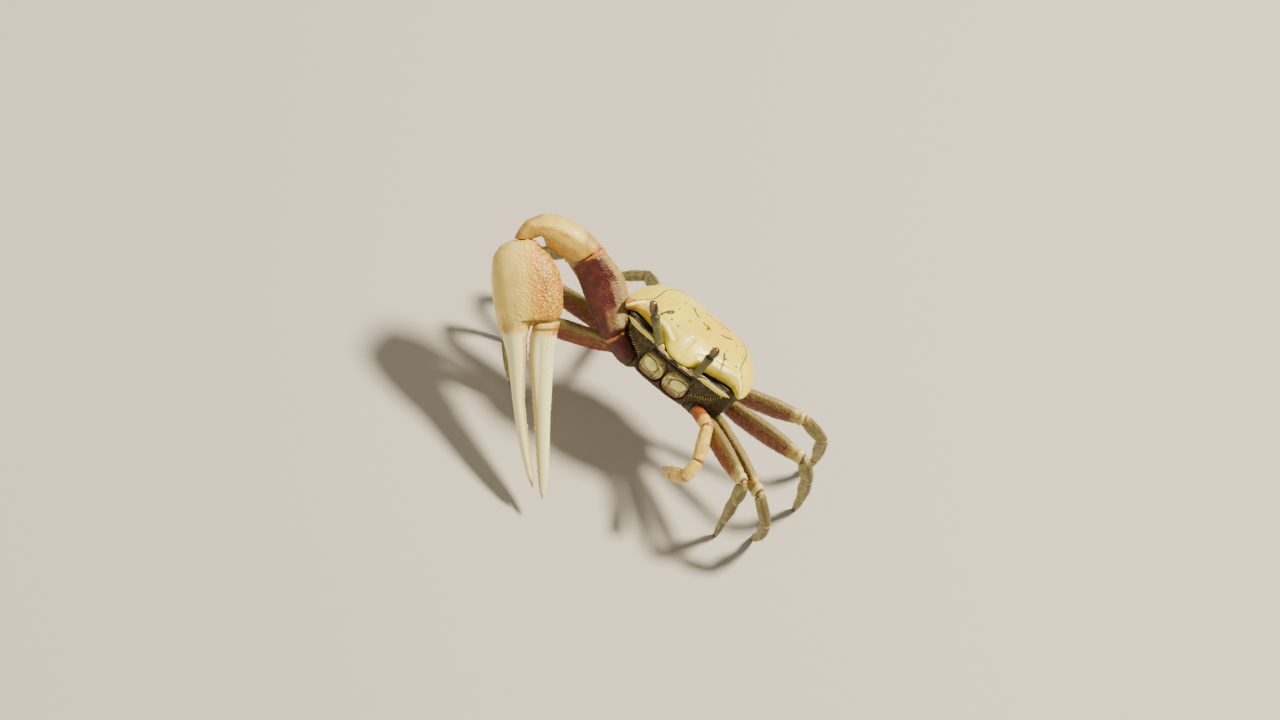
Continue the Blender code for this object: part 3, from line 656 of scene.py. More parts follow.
def ring_skin(rings):
    """A closed tube through rings of equal counts, its ends drawn in to a point's width."""
    rings = [np.asarray(r) for r in rings]
    ends = [r.mean(0) + (r - r.mean(0)) * END_SHARE for r in (rings[0], rings[-1])]
    rings = [ends[0], *rings, ends[1]]
    count = len(rings[0])
    faces = [(i * count + k, i * count + (k + 1) % count, (i + 1) * count + (k + 1) % count,
              (i + 1) * count + k) for i in range(len(rings) - 1) for k in range(count)]
    return skin_of(np.vstack(rings), faces)


def rope(path, radii, sides=12, flat=1.0, upright=UP):
    """A tube along a path, `flat` times as thick along `upright` as it is wide."""
    path = np.asarray(path, float)
    radii = np.broadcast_to(radii, len(path))
    ways = np.gradient(path, axis=0)
    rings = []
    for place, way, radius in zip(path, ways, radii):
        way = unit(way)
        side = unit(np.cross(way, upright))
        up = np.cross(side, way)
        angles = 2 * np.pi * np.arange(sides) / sides
        rings.append(place + radius * (np.outer(np.cos(angles), side)
                                       + flat * np.outer(np.sin(angles), up)))
    return ring_skin(rings)


def bead(centre, radii, axes, rings=14, sides=20):
    """An egg shape with its own axes, the first of them its length."""
    found = []
    for k in range(rings):
        angle = np.pi * (k + 0.5) / rings
        turn = 2 * np.pi * np.arange(sides) / sides
        found.append(centre - axes[0] * radii[0] * np.cos(angle)
                     + np.sin(angle) * (np.outer(np.cos(turn), axes[1]) * radii[1]
                                        + np.outer(np.sin(turn), axes[2]) * radii[2]))
    return ring_skin(found)


# ---- joint skins

def make_joint(limb_a, limb_b, material, size=0.8, name=None):
    """The soft skin bulging in the gap between two segments."""
    centre_a, high_a, wide_a = limb_a.section(1)
    centre_b, high_b, wide_b = limb_b.section(0)
    way = unit(centre_b - centre_a)
    across = unit(limb_a.across - way * (way @ limb_a.across))
    reach = np.linalg.norm(centre_b - centre_a) / 2 + 0.3 * min(high_a, high_b)
    skin = bead((centre_a + centre_b) / 2,
                (reach, size * min(high_a, high_b), size * min(wide_a, wide_b)),
                (way, np.cross(across, way), across))
    finish_piece(name or limb_b.node + "_joint", skin, material)


# ---- setae

def bristle_tree():
    """Geometry Nodes: a curved, tapering bristle on every root point, leaning as the root says."""
    tree = bpy.data.node_groups.new("bristles", "GeometryNodeTree")
    for name, kind in (("Geometry", "Geometry"), ("Tip", "Float"), ("Curl", "Float"),
                       ("Seed", "Int"), ("Material", "Material")):
        tree.interface.new_socket(name, in_out="INPUT", socket_type="NodeSocket" + kind)
    tree.interface.new_socket("Geometry", in_out="OUTPUT", socket_type="NodeSocketGeometry")
    entry = add(tree, "NodeGroupInput").outputs

    def stored(name, kind="FLOAT_VECTOR"):
        return add(tree, "GeometryNodeInputNamedAttribute", {"data_type": kind, "Name": name})

    cone = add(tree, "GeometryNodeMeshCone",
               {"Vertices": 3, "Side Segments": 3, "Radius Bottom": 1.0, "Depth": 1.0},
               {"Radius Top": entry["Tip"]})
    place = add(tree, "GeometryNodeInputPosition")
    up = add(tree, "ShaderNodeSeparateXYZ", links={0: place}).outputs[2]
    squared = add(tree, "ShaderNodeMath", {"operation": "MULTIPLY"}, {0: up, 1: up})
    bend = add(tree, "ShaderNodeMath", {"operation": "MULTIPLY"}, {0: squared, 1: entry["Curl"]})
    aside = add(tree, "ShaderNodeCombineXYZ", links={0: bend})
    strand = add(tree, "GeometryNodeStoreNamedAttribute",
                 {"data_type": "FLOAT_VECTOR", "Name": "strand"},
                 {"Geometry": cone, "Value": place})
    curved = add(tree, "GeometryNodeSetPosition", links={"Geometry": strand, "Offset": aside})
    spin = add(tree, "FunctionNodeRandomValue", {"data_type": "FLOAT", 3: math.tau},
               {"Seed": entry["Seed"]})
    turned = add(tree, "FunctionNodeAxisAngleToRotation", {"Axis": (0, 0, 1)},
                 {"Angle": spin.outputs[1]})
    aimed = add(tree, "FunctionNodeAlignRotationToVector", {"axis": "Z"},
                {"Rotation": turned, "Vector": stored("lean")})
    width = stored("width", "FLOAT")
    size = add(tree, "ShaderNodeCombineXYZ",
               links={0: width, 1: width, 2: stored("length", "FLOAT")})
    tufts = add(tree, "GeometryNodeInstanceOnPoints", links={
        "Points": entry["Geometry"], "Instance": curved, "Rotation": aimed, "Scale": size})
    solid = add(tree, "GeometryNodeRealizeInstances", links={"Geometry": tufts})
    parts = add(tree, "ShaderNodeSeparateXYZ", links={0: stored("strand")}).outputs
    corner = add(tree, "ShaderNodeCombineXYZ", links={0: parts[0], 1: parts[2]})
    patch = add(tree, "ShaderNodeVectorMath", {"operation": "SCALE", "Scale": MAP_PATCH},
                {0: corner})
    spot = add(tree, "ShaderNodeVectorMath", {"operation": "ADD"},
               {0: stored("root_place"), 1: patch})
    mapped = add(tree, "GeometryNodeStoreNamedAttribute",
                 {"data_type": "FLOAT2", "domain": "CORNER", "Name": "OFBake"},
                 {"Geometry": solid, "Value": spot})
    dressed = add(tree, "GeometryNodeSetMaterial",
                  links={"Geometry": mapped, "Material": entry["Material"]})
    add(tree, "NodeGroupOutput", links={"Geometry": dressed})
    return tree


MAP_PATCH = 0.0015            # half the span of one bristle on its map
TIP_SHARE = 0.15              # a bristle's tip against its root
DOWN_WIDTH, FRINGE_WIDTH = 0.026, 0.02      # of a bristle at its root, in millimetres
CURL = 0.35                   # how far a bristle bends aside, against its width
SPREAD = 0.25                 # how unevenly bristles lean
BRISTLES = bristle_tree()


def make_bristles(name, roots, leans, width, lengths, places, material, seed):
    """Bristles at the roots as one solid mesh; `places` are the roots' spots on the skin's map."""
    mesh = bpy.data.meshes.new(name)
    mesh.from_pydata((roots * MM).tolist(), [], [])
    flat = np.column_stack([places, np.zeros(len(roots))])
    for key, values in (("lean", leans), ("root_place", flat),
                        ("width", np.full(len(roots), width * MM)), ("length", lengths * MM)):
        kind, field = ("FLOAT", "value") if values.ndim == 1 else ("FLOAT_VECTOR", "vector")
        attribute = mesh.attributes.new(key, kind, "POINT")
        attribute.data.foreach_set(field, values.astype(np.float32).ravel())
    piece = placed(name, mesh)
    modifier = piece.modifiers.new("bristles", "NODES")
    modifier.node_group = BRISTLES
    given = {"Tip": TIP_SHARE, "Curl": CURL, "Seed": seed, "Material": material}
    for socket in BRISTLES.interface.items_tree:
        if socket.in_out == "INPUT" and socket.name in given:
            modifier[socket.identifier] = given[socket.name]
    graph = bpy.context.evaluated_depsgraph_get()
    solid = bpy.data.meshes.new_from_object(piece.evaluated_get(graph))
    piece.modifiers.clear()
    piece.data = solid
    solid.name = name
    solid.shade_smooth()
    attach(piece, BODY)


def rooted(skin, mask, spacing, seed, lean):
    """Roots where the mask holds, the way each bristle leans (out of the skin and towards `lean`),
    and its share of the usual length."""
    found = scattered(skin, mask, spacing, seed)
    rng = np.random.default_rng(seed + 5)
    ways = skin.normals()[found] + np.asarray(lean) + SPREAD * rng.normal(size=(len(found), 3))
    return found, ways / np.linalg.norm(ways, axis=1)[:, None], varied(rng, found)


def limb_places(skin, limb, found):
    """Where points are on the limb's own map: along it, and round it."""
    along, back, across = limb.place(skin.points[found])
    return np.column_stack([0.01 + 0.98 * along, 0.5 + 0.98 * np.arctan2(across, back) / math.tau])


# ---- walking legs

FRINGES = {                   # spacing and length of the bristles, in millimetres
    "merus": (0.34, 0.36), "carpus": (0.38, 0.4), "propodus": (0.3, 0.5), "dactyl": (0.26, 0.36),
}
LEG_MAKE = {                  # voxel and softening in millimetres
    "merus": (0.11, 0.3), "carpus": (0.1, 0.28), "propodus": (0.085, 0.25), "dactyl": (0.065, 0.18),
}
SEGMENTS = ("merus", "carpus", "propodus", "dactyl")


def carve_merus(skin, along, back, front, seed):
    ring = ramp(0.905, 0.925, along) * ramp(0.962, 0.945, along)
    relief = 0.12 * ring - 0.08 * hump(along, 0.89, 0.014)
    relief -= 0.1 * hump(along, 0.972, 0.01) + 0.06 * hump(along, 0.12, 0.03)
    skin.push(relief)
    crest = ramp(0.25, 0.75, back)
    skin.set(crest=crest * ramp(0.95, 0.85, along), rear=ramp(0.2, -0.8, front),
             band=ramp(0.68, 0.92, along), knee=ring,
             seam=0.6 * hump(along, 0.89, 0.01) + hump(along, 0.972, 0.014))
    middle = ramp(0.06, 0.15, along) * ramp(0.88, 0.8, along)
    toothed = ramp(-0.6, -0.8, back)
    skin.set(granule=granulate(skin, (0.5 * crest * middle, 0.30, 0.2, 0.07, seed),
                               (0.6 * toothed * middle, 0.36, 0.17, 0.09, seed + 9)))


def carve_shank(skin, along, back, front, seed, kind):
    if kind == "carpus":
        relief = 0.07 * hump(front, 0.35, 0.16) * ramp(0.0, 0.3, back)
    else:
        relief = -0.06 * hump(back, 0, 0.22) * ramp(0.1, 0.2, along) * ramp(0.95, 0.85, along)
    if kind == "dactyl":
        relief -= 0.05 * hump(back, 0.6, 0.18) * ramp(0.8, 0.6, along)
        skin.set(toe=ramp(0.55, 1.0, along))
    else:
        relief += 0.07 * ramp(0.9, 0.97, along) * ramp(1.0, 0.98, along)
        relief -= 0.05 * hump(along, 0.87, 0.03)
        skin.set(band=ramp(0.9, 0.96, along))
    skin.push(relief)
    skin.set(crest=ramp(0.3, 0.9, back), rear=ramp(0.2, -0.9, front))
    granulate(skin, (0.25 * ramp(0.3, 0.7, back), 0.34, 0.14, 0.04, seed))


def make_leg(name, seed):
    side = 1 if "left" in name else -1
    heading = unit(Limb(name + "_merus", TRUNK, UP).along * (1, 1, 0))
    across = np.cross(heading, UP)
    limbs = chain([name + "_" + segment for segment in SEGMENTS], TRUNK, across)
    skins = []
    for k, (segment, limb) in enumerate(zip(SEGMENTS, limbs)):
        skin, along, back, across = limb_skin(limb, *LEG_MAKE[segment])
        if segment == "merus":
            carve_merus(skin, along, back, across * side, seed)
            finish_shell(limb.node, skin, LEG)
        else:
            carve_shank(skin, along, back, across * side, seed + 20 * k, segment)
            finish_shell(limb.node, skin, SHIN)
        skins.append(skin)
    for upper, lower in zip(limbs, limbs[1:]):
        make_joint(upper, lower, PALE_SKIN if upper is limbs[0] else DARK_SKIN, 0.85)
    make_fringes(name, skins, limbs, seed)
    return limbs[0]


def make_fringes(name, skins, limbs, seed):
    """Short setae in rows along the edges of each segment, thickest on the last two."""
    rows = []
    for k, (segment, skin, limb) in enumerate(zip(SEGMENTS, skins, limbs)):
        along, back, _ = limb.place(skin.points)
        spacing, length = FRINGES[segment]
        edges = ramp(0.7, 0.95, np.abs(back))
        clear = ramp(0.04, 0.12, along) * ramp(0.97, 0.9, along)
        clear = clear * ramp(1.0, 1.4, skin.points[:, 2])             # none reaches the floor
        if segment == "merus":
            clear = clear * ramp(0.88, 0.8, along)
        found, ways, scale = rooted(skin, 0.5 * edges * clear, spacing, seed + 60 + k,
                                    1.1 * limb.along)
        rows.append((skin.points[found], ways, length * scale,
                     limb_places(skin, limb, found) * (0.24, 1) + (0.25 * k, 0)))
    roots, ways, lengths, places = map(np.concatenate, zip(*rows))
    make_bristles(name + "_setae", roots, ways, FRINGE_WIDTH, lengths, places, DARK_HAIR, seed)


LEG_NAMES = ["leg_" + side + "_" + str(n) for side in ("left", "right") for n in (1, 2, 3, 4)]
THIGHS = [make_leg(name, 100 * number) for number, name in enumerate(LEG_NAMES, 1)]


# ---- trunk under the shield

FLANK_SEED = 63
PLATE_SEAMS = (-3.3, -0.7, 1.9, 4.4)                       # across the underside, from the front
SEGMENT_SEAMS = (1.1, 2.7, 4.4, 6.2, 8.2, 10.6, 13.2)      # along the abdomen flap
SOCKET_RIM, SOCKET_GROOVE = 1.55, 2.2       # radii round a leg's socket
SOCKET_REACH = 3.0                          # how far from the leg's start they are carved


def make_thorax():
    skin = dense_skin("thorax", 0.14, 0.3)
    x, y, z = to_trunk(skin.points).T
    out = np.abs(x)
    normals = skin.normals() @ AXES
    below = ramp(-0.2, -0.7, normals[:, 2])
    relief, seam = np.zeros(len(x)), np.zeros(len(x))
    for level in PLATE_SEAMS:
        line = hump(y - (level + 0.16 * out), 0, 0.22) * ramp(1.6, 2.4, out) * below
        relief -= 0.12 * line
        seam = np.maximum(seam, line)
    flank = ramp(0.35, 0.75, np.linalg.norm(normals[:, :2], axis=1)) * ramp(-3.5, -1.5, y)
    ridge = hump(z + 3.4 + 0.12 * y, 0, 0.3) * flank * ramp(6.5, 5.0, y)
    relief += 0.14 * ridge - 0.1 * hump(z + 4.1 + 0.12 * y, 0, 0.35) * flank
    for thigh in THIGHS:                         # a rim and a groove round each leg's socket
        offset = skin.points - thigh.start
        reach = offset @ thigh.along
        beside = np.linalg.norm(offset - np.outer(reach, thigh.along), axis=1)
        ring = np.abs(reach) < SOCKET_REACH
        groove = hump(beside, SOCKET_GROOVE, 0.3)
        relief += ring * (0.2 * hump(beside, SOCKET_RIM, 0.3) - 0.12 * groove)
        seam = np.maximum(seam, 0.8 * ring * hump(beside, SOCKET_GROOVE - 0.05, 0.3))
    skin.push(relief)
    # front and side faces towards the front, and a band just below the shield's edge: painted shade
    sideways, ahead = ramp(0.2, 0.8, np.abs(normals[:, 0])), ramp(-0.1, -0.5, normals[:, 1])
    skin.set(seam=np.maximum(seam, ramp(-2.2, -1.4, z)),
             low=ramp(4.5, 8.0, out) * ramp(-5.5, -7.5, z),
             side=np.maximum(sideways, ahead) * ramp(2.5, -1.0, y))
    granulate(skin, (0.25 * ramp(-1.6, -2.4, z) * ramp(0.3, -0.2, normals[:, 2]),
                     0.34, 0.16, 0.04, 7))
    finish_shell("thorax", skin, BELLY)
    low = hump(z, -6.9, 0.9) * ramp(0.2, 0.6, np.abs(normals[:, 0]))
    found, ways, scale = rooted(skin, 0.12 * low + 0.02 * flank * ramp(-2.0, -2.6, z), 0.4,
                                FLANK_SEED, AXES @ (0.0, 0.2, -0.6))
    round_it = 0.5 + 0.49 * np.arctan2(x[found], -y[found]) / math.pi
    make_bristles("flank_down", skin.points[found], ways, DOWN_WIDTH, 0.55 * scale,
                  np.column_stack([round_it, 1 + z[found] / 12]), DARK_HAIR, FLANK_SEED)


def make_abdomen():
    skin = dense_skin("abdomen", 0.12, 0.25)
    _, y, z = to_trunk(skin.points).T
    way = np.where(y > 4.6, -z - 1.5, 8.1 + (4.6 - y))     # runs down the back, then forward
    seam = np.max([hump(way - level, 0, 0.16) for level in SEGMENT_SEAMS], axis=0)
    skin.push(-0.08 * seam + 0.03 * ramp(0.35, 0.0, seam))
    skin.set(seam=seam)
    finish_shell("abdomen", skin, BELLY)


make_thorax()
make_abdomen()


# ---- head

LIP_LINE = ((4.3, -6.25, -1.3), (5.0, -6.15, -0.95), (6.3, -5.95, -0.95), (7.6, -5.65, -1.1),
            (8.9, -5.15, -1.25), (10.0, -4.5, -1.5))
RIDGE_LINE = ((9.5, -4.9, -2.0), (9.0, -5.3, -2.6), (8.0, -5.7, -3.3), (6.6, -6.1, -4.0),
              (5.4, -6.3, -4.5))
EPISTOME_LINE = ((4.1, -6.3, -1.15), (3.2, -6.5, -1.05), (2.1, -6.75, -1.15), (0.9, -6.85, -1.35))
ANTENNULE_LINE = ((0.5, -6.75, -1.15), (1.1, -6.95, -1.0), (1.8, -6.95, -0.95), (2.4, -6.7, -1.0))
ANTENNA_LINE = ((3.5, -6.3, -0.85), (4.3, -6.35, -0.45), (5.2, -6.1, -0.35), (6.0, -5.8, -0.5))
PALP = ((((1.7, -6.65, -3.5), (1.1, -6.95, -3.6), (0.6, -7.0, -4.0)), 0.24),      # lines and radii
        (((0.55, -7.0, -4.05), (0.42, -7.02, -4.6), (0.5, -6.95, -5.1)), 0.2),
        (((0.5, -6.95, -5.15), (0.68, -6.9, -5.6), (1.0, -6.75, -6.0)), 0.16))
DASH_RADII = (0.02, 0.035, 0.045, 0.05, 0.045, 0.035, 0.02)
SLIT_LEVEL = -2.1             # the closed mouth's upper slit


def trunk_line(corners, side, step):
    """A smooth curve through places on the trunk, on one side of the crab."""
    return from_trunk(line_points(mirrored(corners, side), step))


def joined(skins):
    """Several skins as one."""
    faces, start = [], 0
    for skin in skins:
        faces += [tuple(start + i for i in face) for face in skin.faces]
        start += len(skin.points)
    return skin_of(np.vstack([skin.points for skin in skins]), faces)


def make_face():
    skin = dense_skin("face", 0.1, 0.2)
    points = notch(to_trunk(skin.points), -4.7, -5.7)
    skin.points = from_trunk(points)
    x, y, z = points.T
    out = np.abs(x)
    central = ramp(4.2, 3.6, out)
    slit = np.exp(-((z - SLIT_LEVEL) / 0.36) ** 4) * central * ramp(-5.6, -6.0, y)
    bar = hump(z - SLIT_LEVEL, 0.05, 0.1) * slit * ramp(3.4, 2.6, out)
    cheek = hump(out - 4.75 + 0.12 * (z + 5), 0, 0.3) * ramp(-2.0, -2.8, z)
    skin.push(-0.3 * slit + 0.22 * bar - 0.22 * cheek + 0.1 * hump(z, -1.5, 0.25) * central)
    # masks for the painted shade, near-black, in the mouth slit and the face's hollows
    skin.set(slit=slit - 1.2 * bar, sill=bar,
             ridge=hump(z, -1.45, 0.22) * ramp(3.9, 3.2, out) * ramp(0.6, 1.4, out),
             hollow=np.maximum(ramp(-5.9, -5.3, y) * ramp(-2.2, -1.6, z), 0.8 * cheek),
             low=ramp(-4.6, -6.0, z))
    granulate(skin, (0.2 * ramp(-2.2, -2.6, z) * (1 - slit), 0.3, 0.14, 0.035, 8))
    finish_shell("face", skin, FACE)
    return skin


def make_lips():
    """The bare lower lip of each eye socket, standing like a wall with a crenulated crest."""
    for side, word in SIDES:
        path = trunk_line(LIP_LINE, side, 0.06)
        share = np.linspace(0, 1, len(path))
        radii = 0.29 * np.clip(np.minimum(ramp(-0.1, 0.25, share), ramp(1.05, 0.75, share)), 0.2, 1)
        radii = radii + 0.014 * np.abs(np.sin(np.arange(len(path)) * 0.45))
        skin = rope(path, radii, 16, 1.75, AXES[:, 2])
        # painted shade on the lip's downward-facing side
        skin.set(under=ramp(-0.35, -0.85, skin.normals() @ AXES[:, 2]))
        finish_piece("socket_lip_" + word, skin, LIP, ())


def make_ridges(face):
    """Short pale ridges down the side of the face, below each socket."""
    normals = face.normals()
    for side, word in SIDES:
        lean = AXES @ unit((-0.55 * side, 0.0, 0.8))
        dashes = []
        for k, i in enumerate(nearest(trunk_line(RIDGE_LINE, side, 0.34), face.points)[1]):
            way = unit(lean - normals[i] * (lean @ normals[i]))
            half = 0.36 + 0.12 * math.sin(1.7 * k)
            path = [face.points[i] + way * half * t + normals[i] * (0.07 - 0.08 * t * t)
                    for t in np.linspace(-1, 1, len(DASH_RADII))]
            dashes.append(rope(path, DASH_RADII, 8, 1.0, normals[i]))
        skin = joined(dashes)
        skin.set(under=0.47)
        finish_piece("face_ridges_" + word, skin, LIP, ())


def make_down(face):
    """Short olive down over the lower face, and paler fringes beside the mouth."""
    x, _, z = to_trunk(face.points).T
    out = np.abs(x)
    front = ramp(-0.1, -0.5, (face.normals() @ AXES)[:, 1])
    cheeks = front * ramp(4.9, 5.4, out) * ramp(-2.1, -2.6, z)
    fringe = front * hump(out, 4.7, 0.3) * ramp(-3.0, -3.5, z)
    bridge = front * ramp(4.4, 4.0, out) * hump(z, -2.8, 0.3)
    for name, mask, spacing, length, material, seed in (
            ("face_down", 0.16 * cheeks, 0.27, 0.42, DARK_HAIR, 61),
            ("mouth_fringe", 0.4 * np.maximum(fringe, bridge), 0.24, 0.5, PALE_HAIR, 62)):
        found, ways, scale = rooted(face, mask, spacing, seed, AXES @ (0.0, -0.2, -0.7))
        places = np.column_stack([0.5 + x[found] / 25, 0.9 + z[found] / 12])
        make_bristles(name, face.points[found], ways, DOWN_WIDTH, length * scale, places,
                      material, seed)


def make_feelers():
    """Folded antennules below the front lobe, and a short antenna at each socket's inner corner."""
    for side, word in SIDES:
        axes = [AXES @ unit(way) for way in ((side, 0.35, 0.25), (0, 0, 1), (0.35 * side, -1, 0))]
        base = bead(from_trunk((side * 2.9, -6.2, -1.0)), (0.75, 0.5, 0.42), axes)
        fold = rope(from_trunk(mirrored(ANTENNULE_LINE, side)), (0.14, 0.24, 0.26, 0.16))
        path = trunk_line(ANTENNA_LINE, side, 0.2)
        whip = rope(path, np.linspace(0.11, 0.04, len(path)), 8)
        ridge = rope(trunk_line(EPISTOME_LINE, side, 0.2), 0.13, 10)
        finish_piece("feelers_" + word, joined([base, fold, whip, ridge]), MOUTH, ())


def make_mouth():
    for side, word in SIDES:
        node = "maxilliped_" + word
        skin = dense_skin(node, 0.075, 0.18)
        x, _, z = to_trunk(skin.points).T
        x = x * side                                     # out from the middle line
        front = ramp(-0.15, -0.6, (skin.normals() @ AXES)[:, 1])
        oval = np.hypot((x - 2.75) / 1.25, (z + 4.55 - 0.15 * (x - 2.75)) / 0.95)
        seam = front * np.max([
            hump(oval, 1.2, 0.1) * ramp(-5.9, -5.2, z), hump(x - 1.25 + 0.1 * (z + 5), 0, 0.09),
            hump(z + 6.15 - 0.2 * (x - 2), 0, 0.1) * ramp(1.3, 1.7, x),
            hump(x - 3.75 + 0.12 * (z + 5.5), 0, 0.08) * ramp(-5.4, -5.9, z)], axis=0)
        skin.push((0.3 * ramp(1.1, 0.1, oval) - 0.13 * ramp(-5.4, -6.4, z)) * front - 0.13 * seam)
        skin.set(seam=seam, pale=ramp(1.25, 0.75, oval),
                 low=np.maximum(ramp(-5.5, -6.8, z), 0.6 * ramp(1.2, 0.7, x)))
        finish_shell(node, skin, MOUTH)
        parts = []
        for line, radius in PALP:
            path = trunk_line(line, side, 0.1)
            bulge = np.sin(np.linspace(0, np.pi, len(path)))
            parts.append(rope(path, radius * (0.7 + 0.3 * bulge)))
        skin = joined(parts)
        z = to_trunk(skin.points)[:, 2]
        skin.set(pale=0.6 * ramp(-5.6, -3.6, z), low=ramp(-5.0, -6.0, z),
                 seam=0.6 * (hump(z, -4.02, 0.1) + hump(z, -5.12, 0.1)))
        finish_piece("palp_" + word, skin, MOUTH, ())


# the eyes' painted highlight lies on the side facing this way
EYE_HIGHLIGHT_SIDE = unit((-0.2, -0.7, 0.7))      # the side on which the eyes are paler


def make_eyes():
    for _, word in SIDES:
        stalk, cup = chain(("eyestalk_" + word, "cornea_" + word), TRUNK, (0.0, 1.0, 0.0))
        skin, along, *_ = limb_skin(stalk, 0.07, 0.3)
        skin.push(0.13 + 0.08 * ramp(0.55, 0.95, along) - 0.05 * hump(along, 0.12, 0.05))
        skin.set(along=along)
        finish_shell(stalk.node, skin, STALK)
        ball, along, *_ = limb_skin(cup, 0.06, 0.3)
        # painted highlight on the side that faces up and forward
        facing = ball.normals() @ EYE_HIGHLIGHT_SIDE
        ball.push(-0.06 - 0.05 * hump(along, 0.1, 0.06))
        ball.set(crown=ramp(0.45, 0.95, facing) * ramp(0.1, 0.5, along),
                 collar=ramp(0.2, 0.06, along))
        finish_piece(cup.node + "_ball", ball, EYE, [cup.node])
        make_joint(stalk, cup, STALK, 0.92, stalk.node + "_joint")


FACE_SKIN = make_face()
make_lips()
make_ridges(FACE_SKIN)
make_down(FACE_SKIN)
make_feelers()
make_mouth()
make_eyes()


# ---- great claw

OUTER_FACE = unit((0.12, -0.68, 0.72))        # out of the palm's broad outer side
GREAT_ARM_ROOT = (-5.9, -5.0, -7.3)           # on the trunk


def make_great_arm():
    ischium, merus, carpus = chain(("claw_right_ischium", "claw_right_merus", "claw_right_carpus"),
                                   from_trunk(GREAT_ARM_ROOT), OUTER_FACE)

    skin, along, _, across = limb_skin(ischium, 0.13, 0.4)
    skin.set(joint=0.8 * ramp(0.75, 0.95, along),
             granule=0.5 * granulate(skin, (0.2 * ramp(-0.2, 0.5, across), 0.42, 0.16, 0.05, 21)))
    finish_shell(ischium.node, skin, ARM)

    skin, along, *_ = limb_skin(merus, 0.12, 0.4)
    normals = skin.normals()
    # upward faces take the crest colours: partly the shell's own colour, partly painted sunlight
    upper = ramp(0.15, 0.6, normals[:, 2] * 0.75 + normals[:, 0] * -0.1 + normals[:, 1] * 0.35)
    edge = hump(normals @ unit((0.1, -0.45, 0.9)), 0.55, 0.12)
    tooth = hump(normals @ unit((0.55, -0.8, 0.15)), 0.35, 0.1)
    middle = ramp(0.04, 0.12, along) * ramp(0.95, 0.86, along)
    skin.push(0.12 * edge * middle - 0.12 * hump(along, 0.91, 0.02))
    skin.set(crest=upper * ramp(1.0, 0.9, along), joint=ramp(0.84, 0.96, along))
    rise = granulate(skin, ((0.4 * upper + 0.1 * edge) * middle, 0.3, 0.19, 0.07, 22))
    rise = np.maximum(rise, 0.7 * granulate(
        skin, (0.3 * tooth * middle * (1 - upper), 0.5, 0.22, 0.1, 24)))
    skin.set(granule=0.8 * rise * (0.2 + 0.8 * upper))
    finish_shell(merus.node, skin, ARM)

    skin, along, *_ = limb_skin(carpus, 0.12, 0.4)
    normals = skin.normals()
    outer = ramp(-0.2, 0.4, normals @ OUTER_FACE)
    # painted shade on the faces turned down and painted sunlight on those turned up
    skin.set(shade=ramp(0.2, -0.7, normals[:, 2]),
             sunny=ramp(0.55, 0.95, normals[:, 2]) * ramp(0.1, 0.3, along),
             joint=ramp(0.12, 0.02, along) + ramp(0.93, 0.99, along))
    rough = 0.4 * (0.3 + 0.7 * outer) * ramp(0.05, 0.12, along) * ramp(0.97, 0.9, along)
    skin.set(granule=0.75 * granulate(skin, (rough, 0.29, 0.18, 0.06, 23)))
    finish_shell(carpus.node, skin, WRIST)

    make_joint(ischium, merus, ARM)
    make_joint(merus, carpus, PALE_SKIN)


def claw_axes():
    """The wrist end, and the ways along the claw, to the movable finger and out of its face."""
    palm = Limb("claw_right_palm", node_points("claw_right_carpus").mean(0), OUTER_FACE)
    outer = unit(OUTER_FACE - palm.along * (OUTER_FACE @ palm.along))
    return palm.start, palm.along, np.cross(outer, palm.along), outer


KNUCKLE, HINGE = 12.5, 13.9   # where the fixed and the movable finger start, from the wrist
FIXED_TEETH, MOVABLE_TEETH = (14.2, 37.0), (15.0, 38.5)      # where they start and end
TOOTH_STEP = 0.85             # from tooth to tooth along a finger
BIG_TEETH = (9, 17)           # which of them are large


def tooth_row(skin, u, v, w, side, reach):
    """Blunt teeth on the edge that faces the other finger; returns how far up one each point is."""
    spots, sizes = [], []
    for k, at in enumerate(np.arange(*reach, TOOTH_STEP)):
        here = np.abs(u - at) < 0.3
        near = np.flatnonzero(here & (np.abs(w - np.median(w[here])) < 0.8))
        if len(near):
            spots.append(skin.points[near[np.argmax(v[near] * side)]])
            sizes.append(1.9 if k in BIG_TEETH else 1.0 + 0.25 * math.sin(2.3 * k))
    sizes = np.array(sizes)
    return knobs(skin, np.array(spots), 0.22 * sizes, 0.1 * sizes)


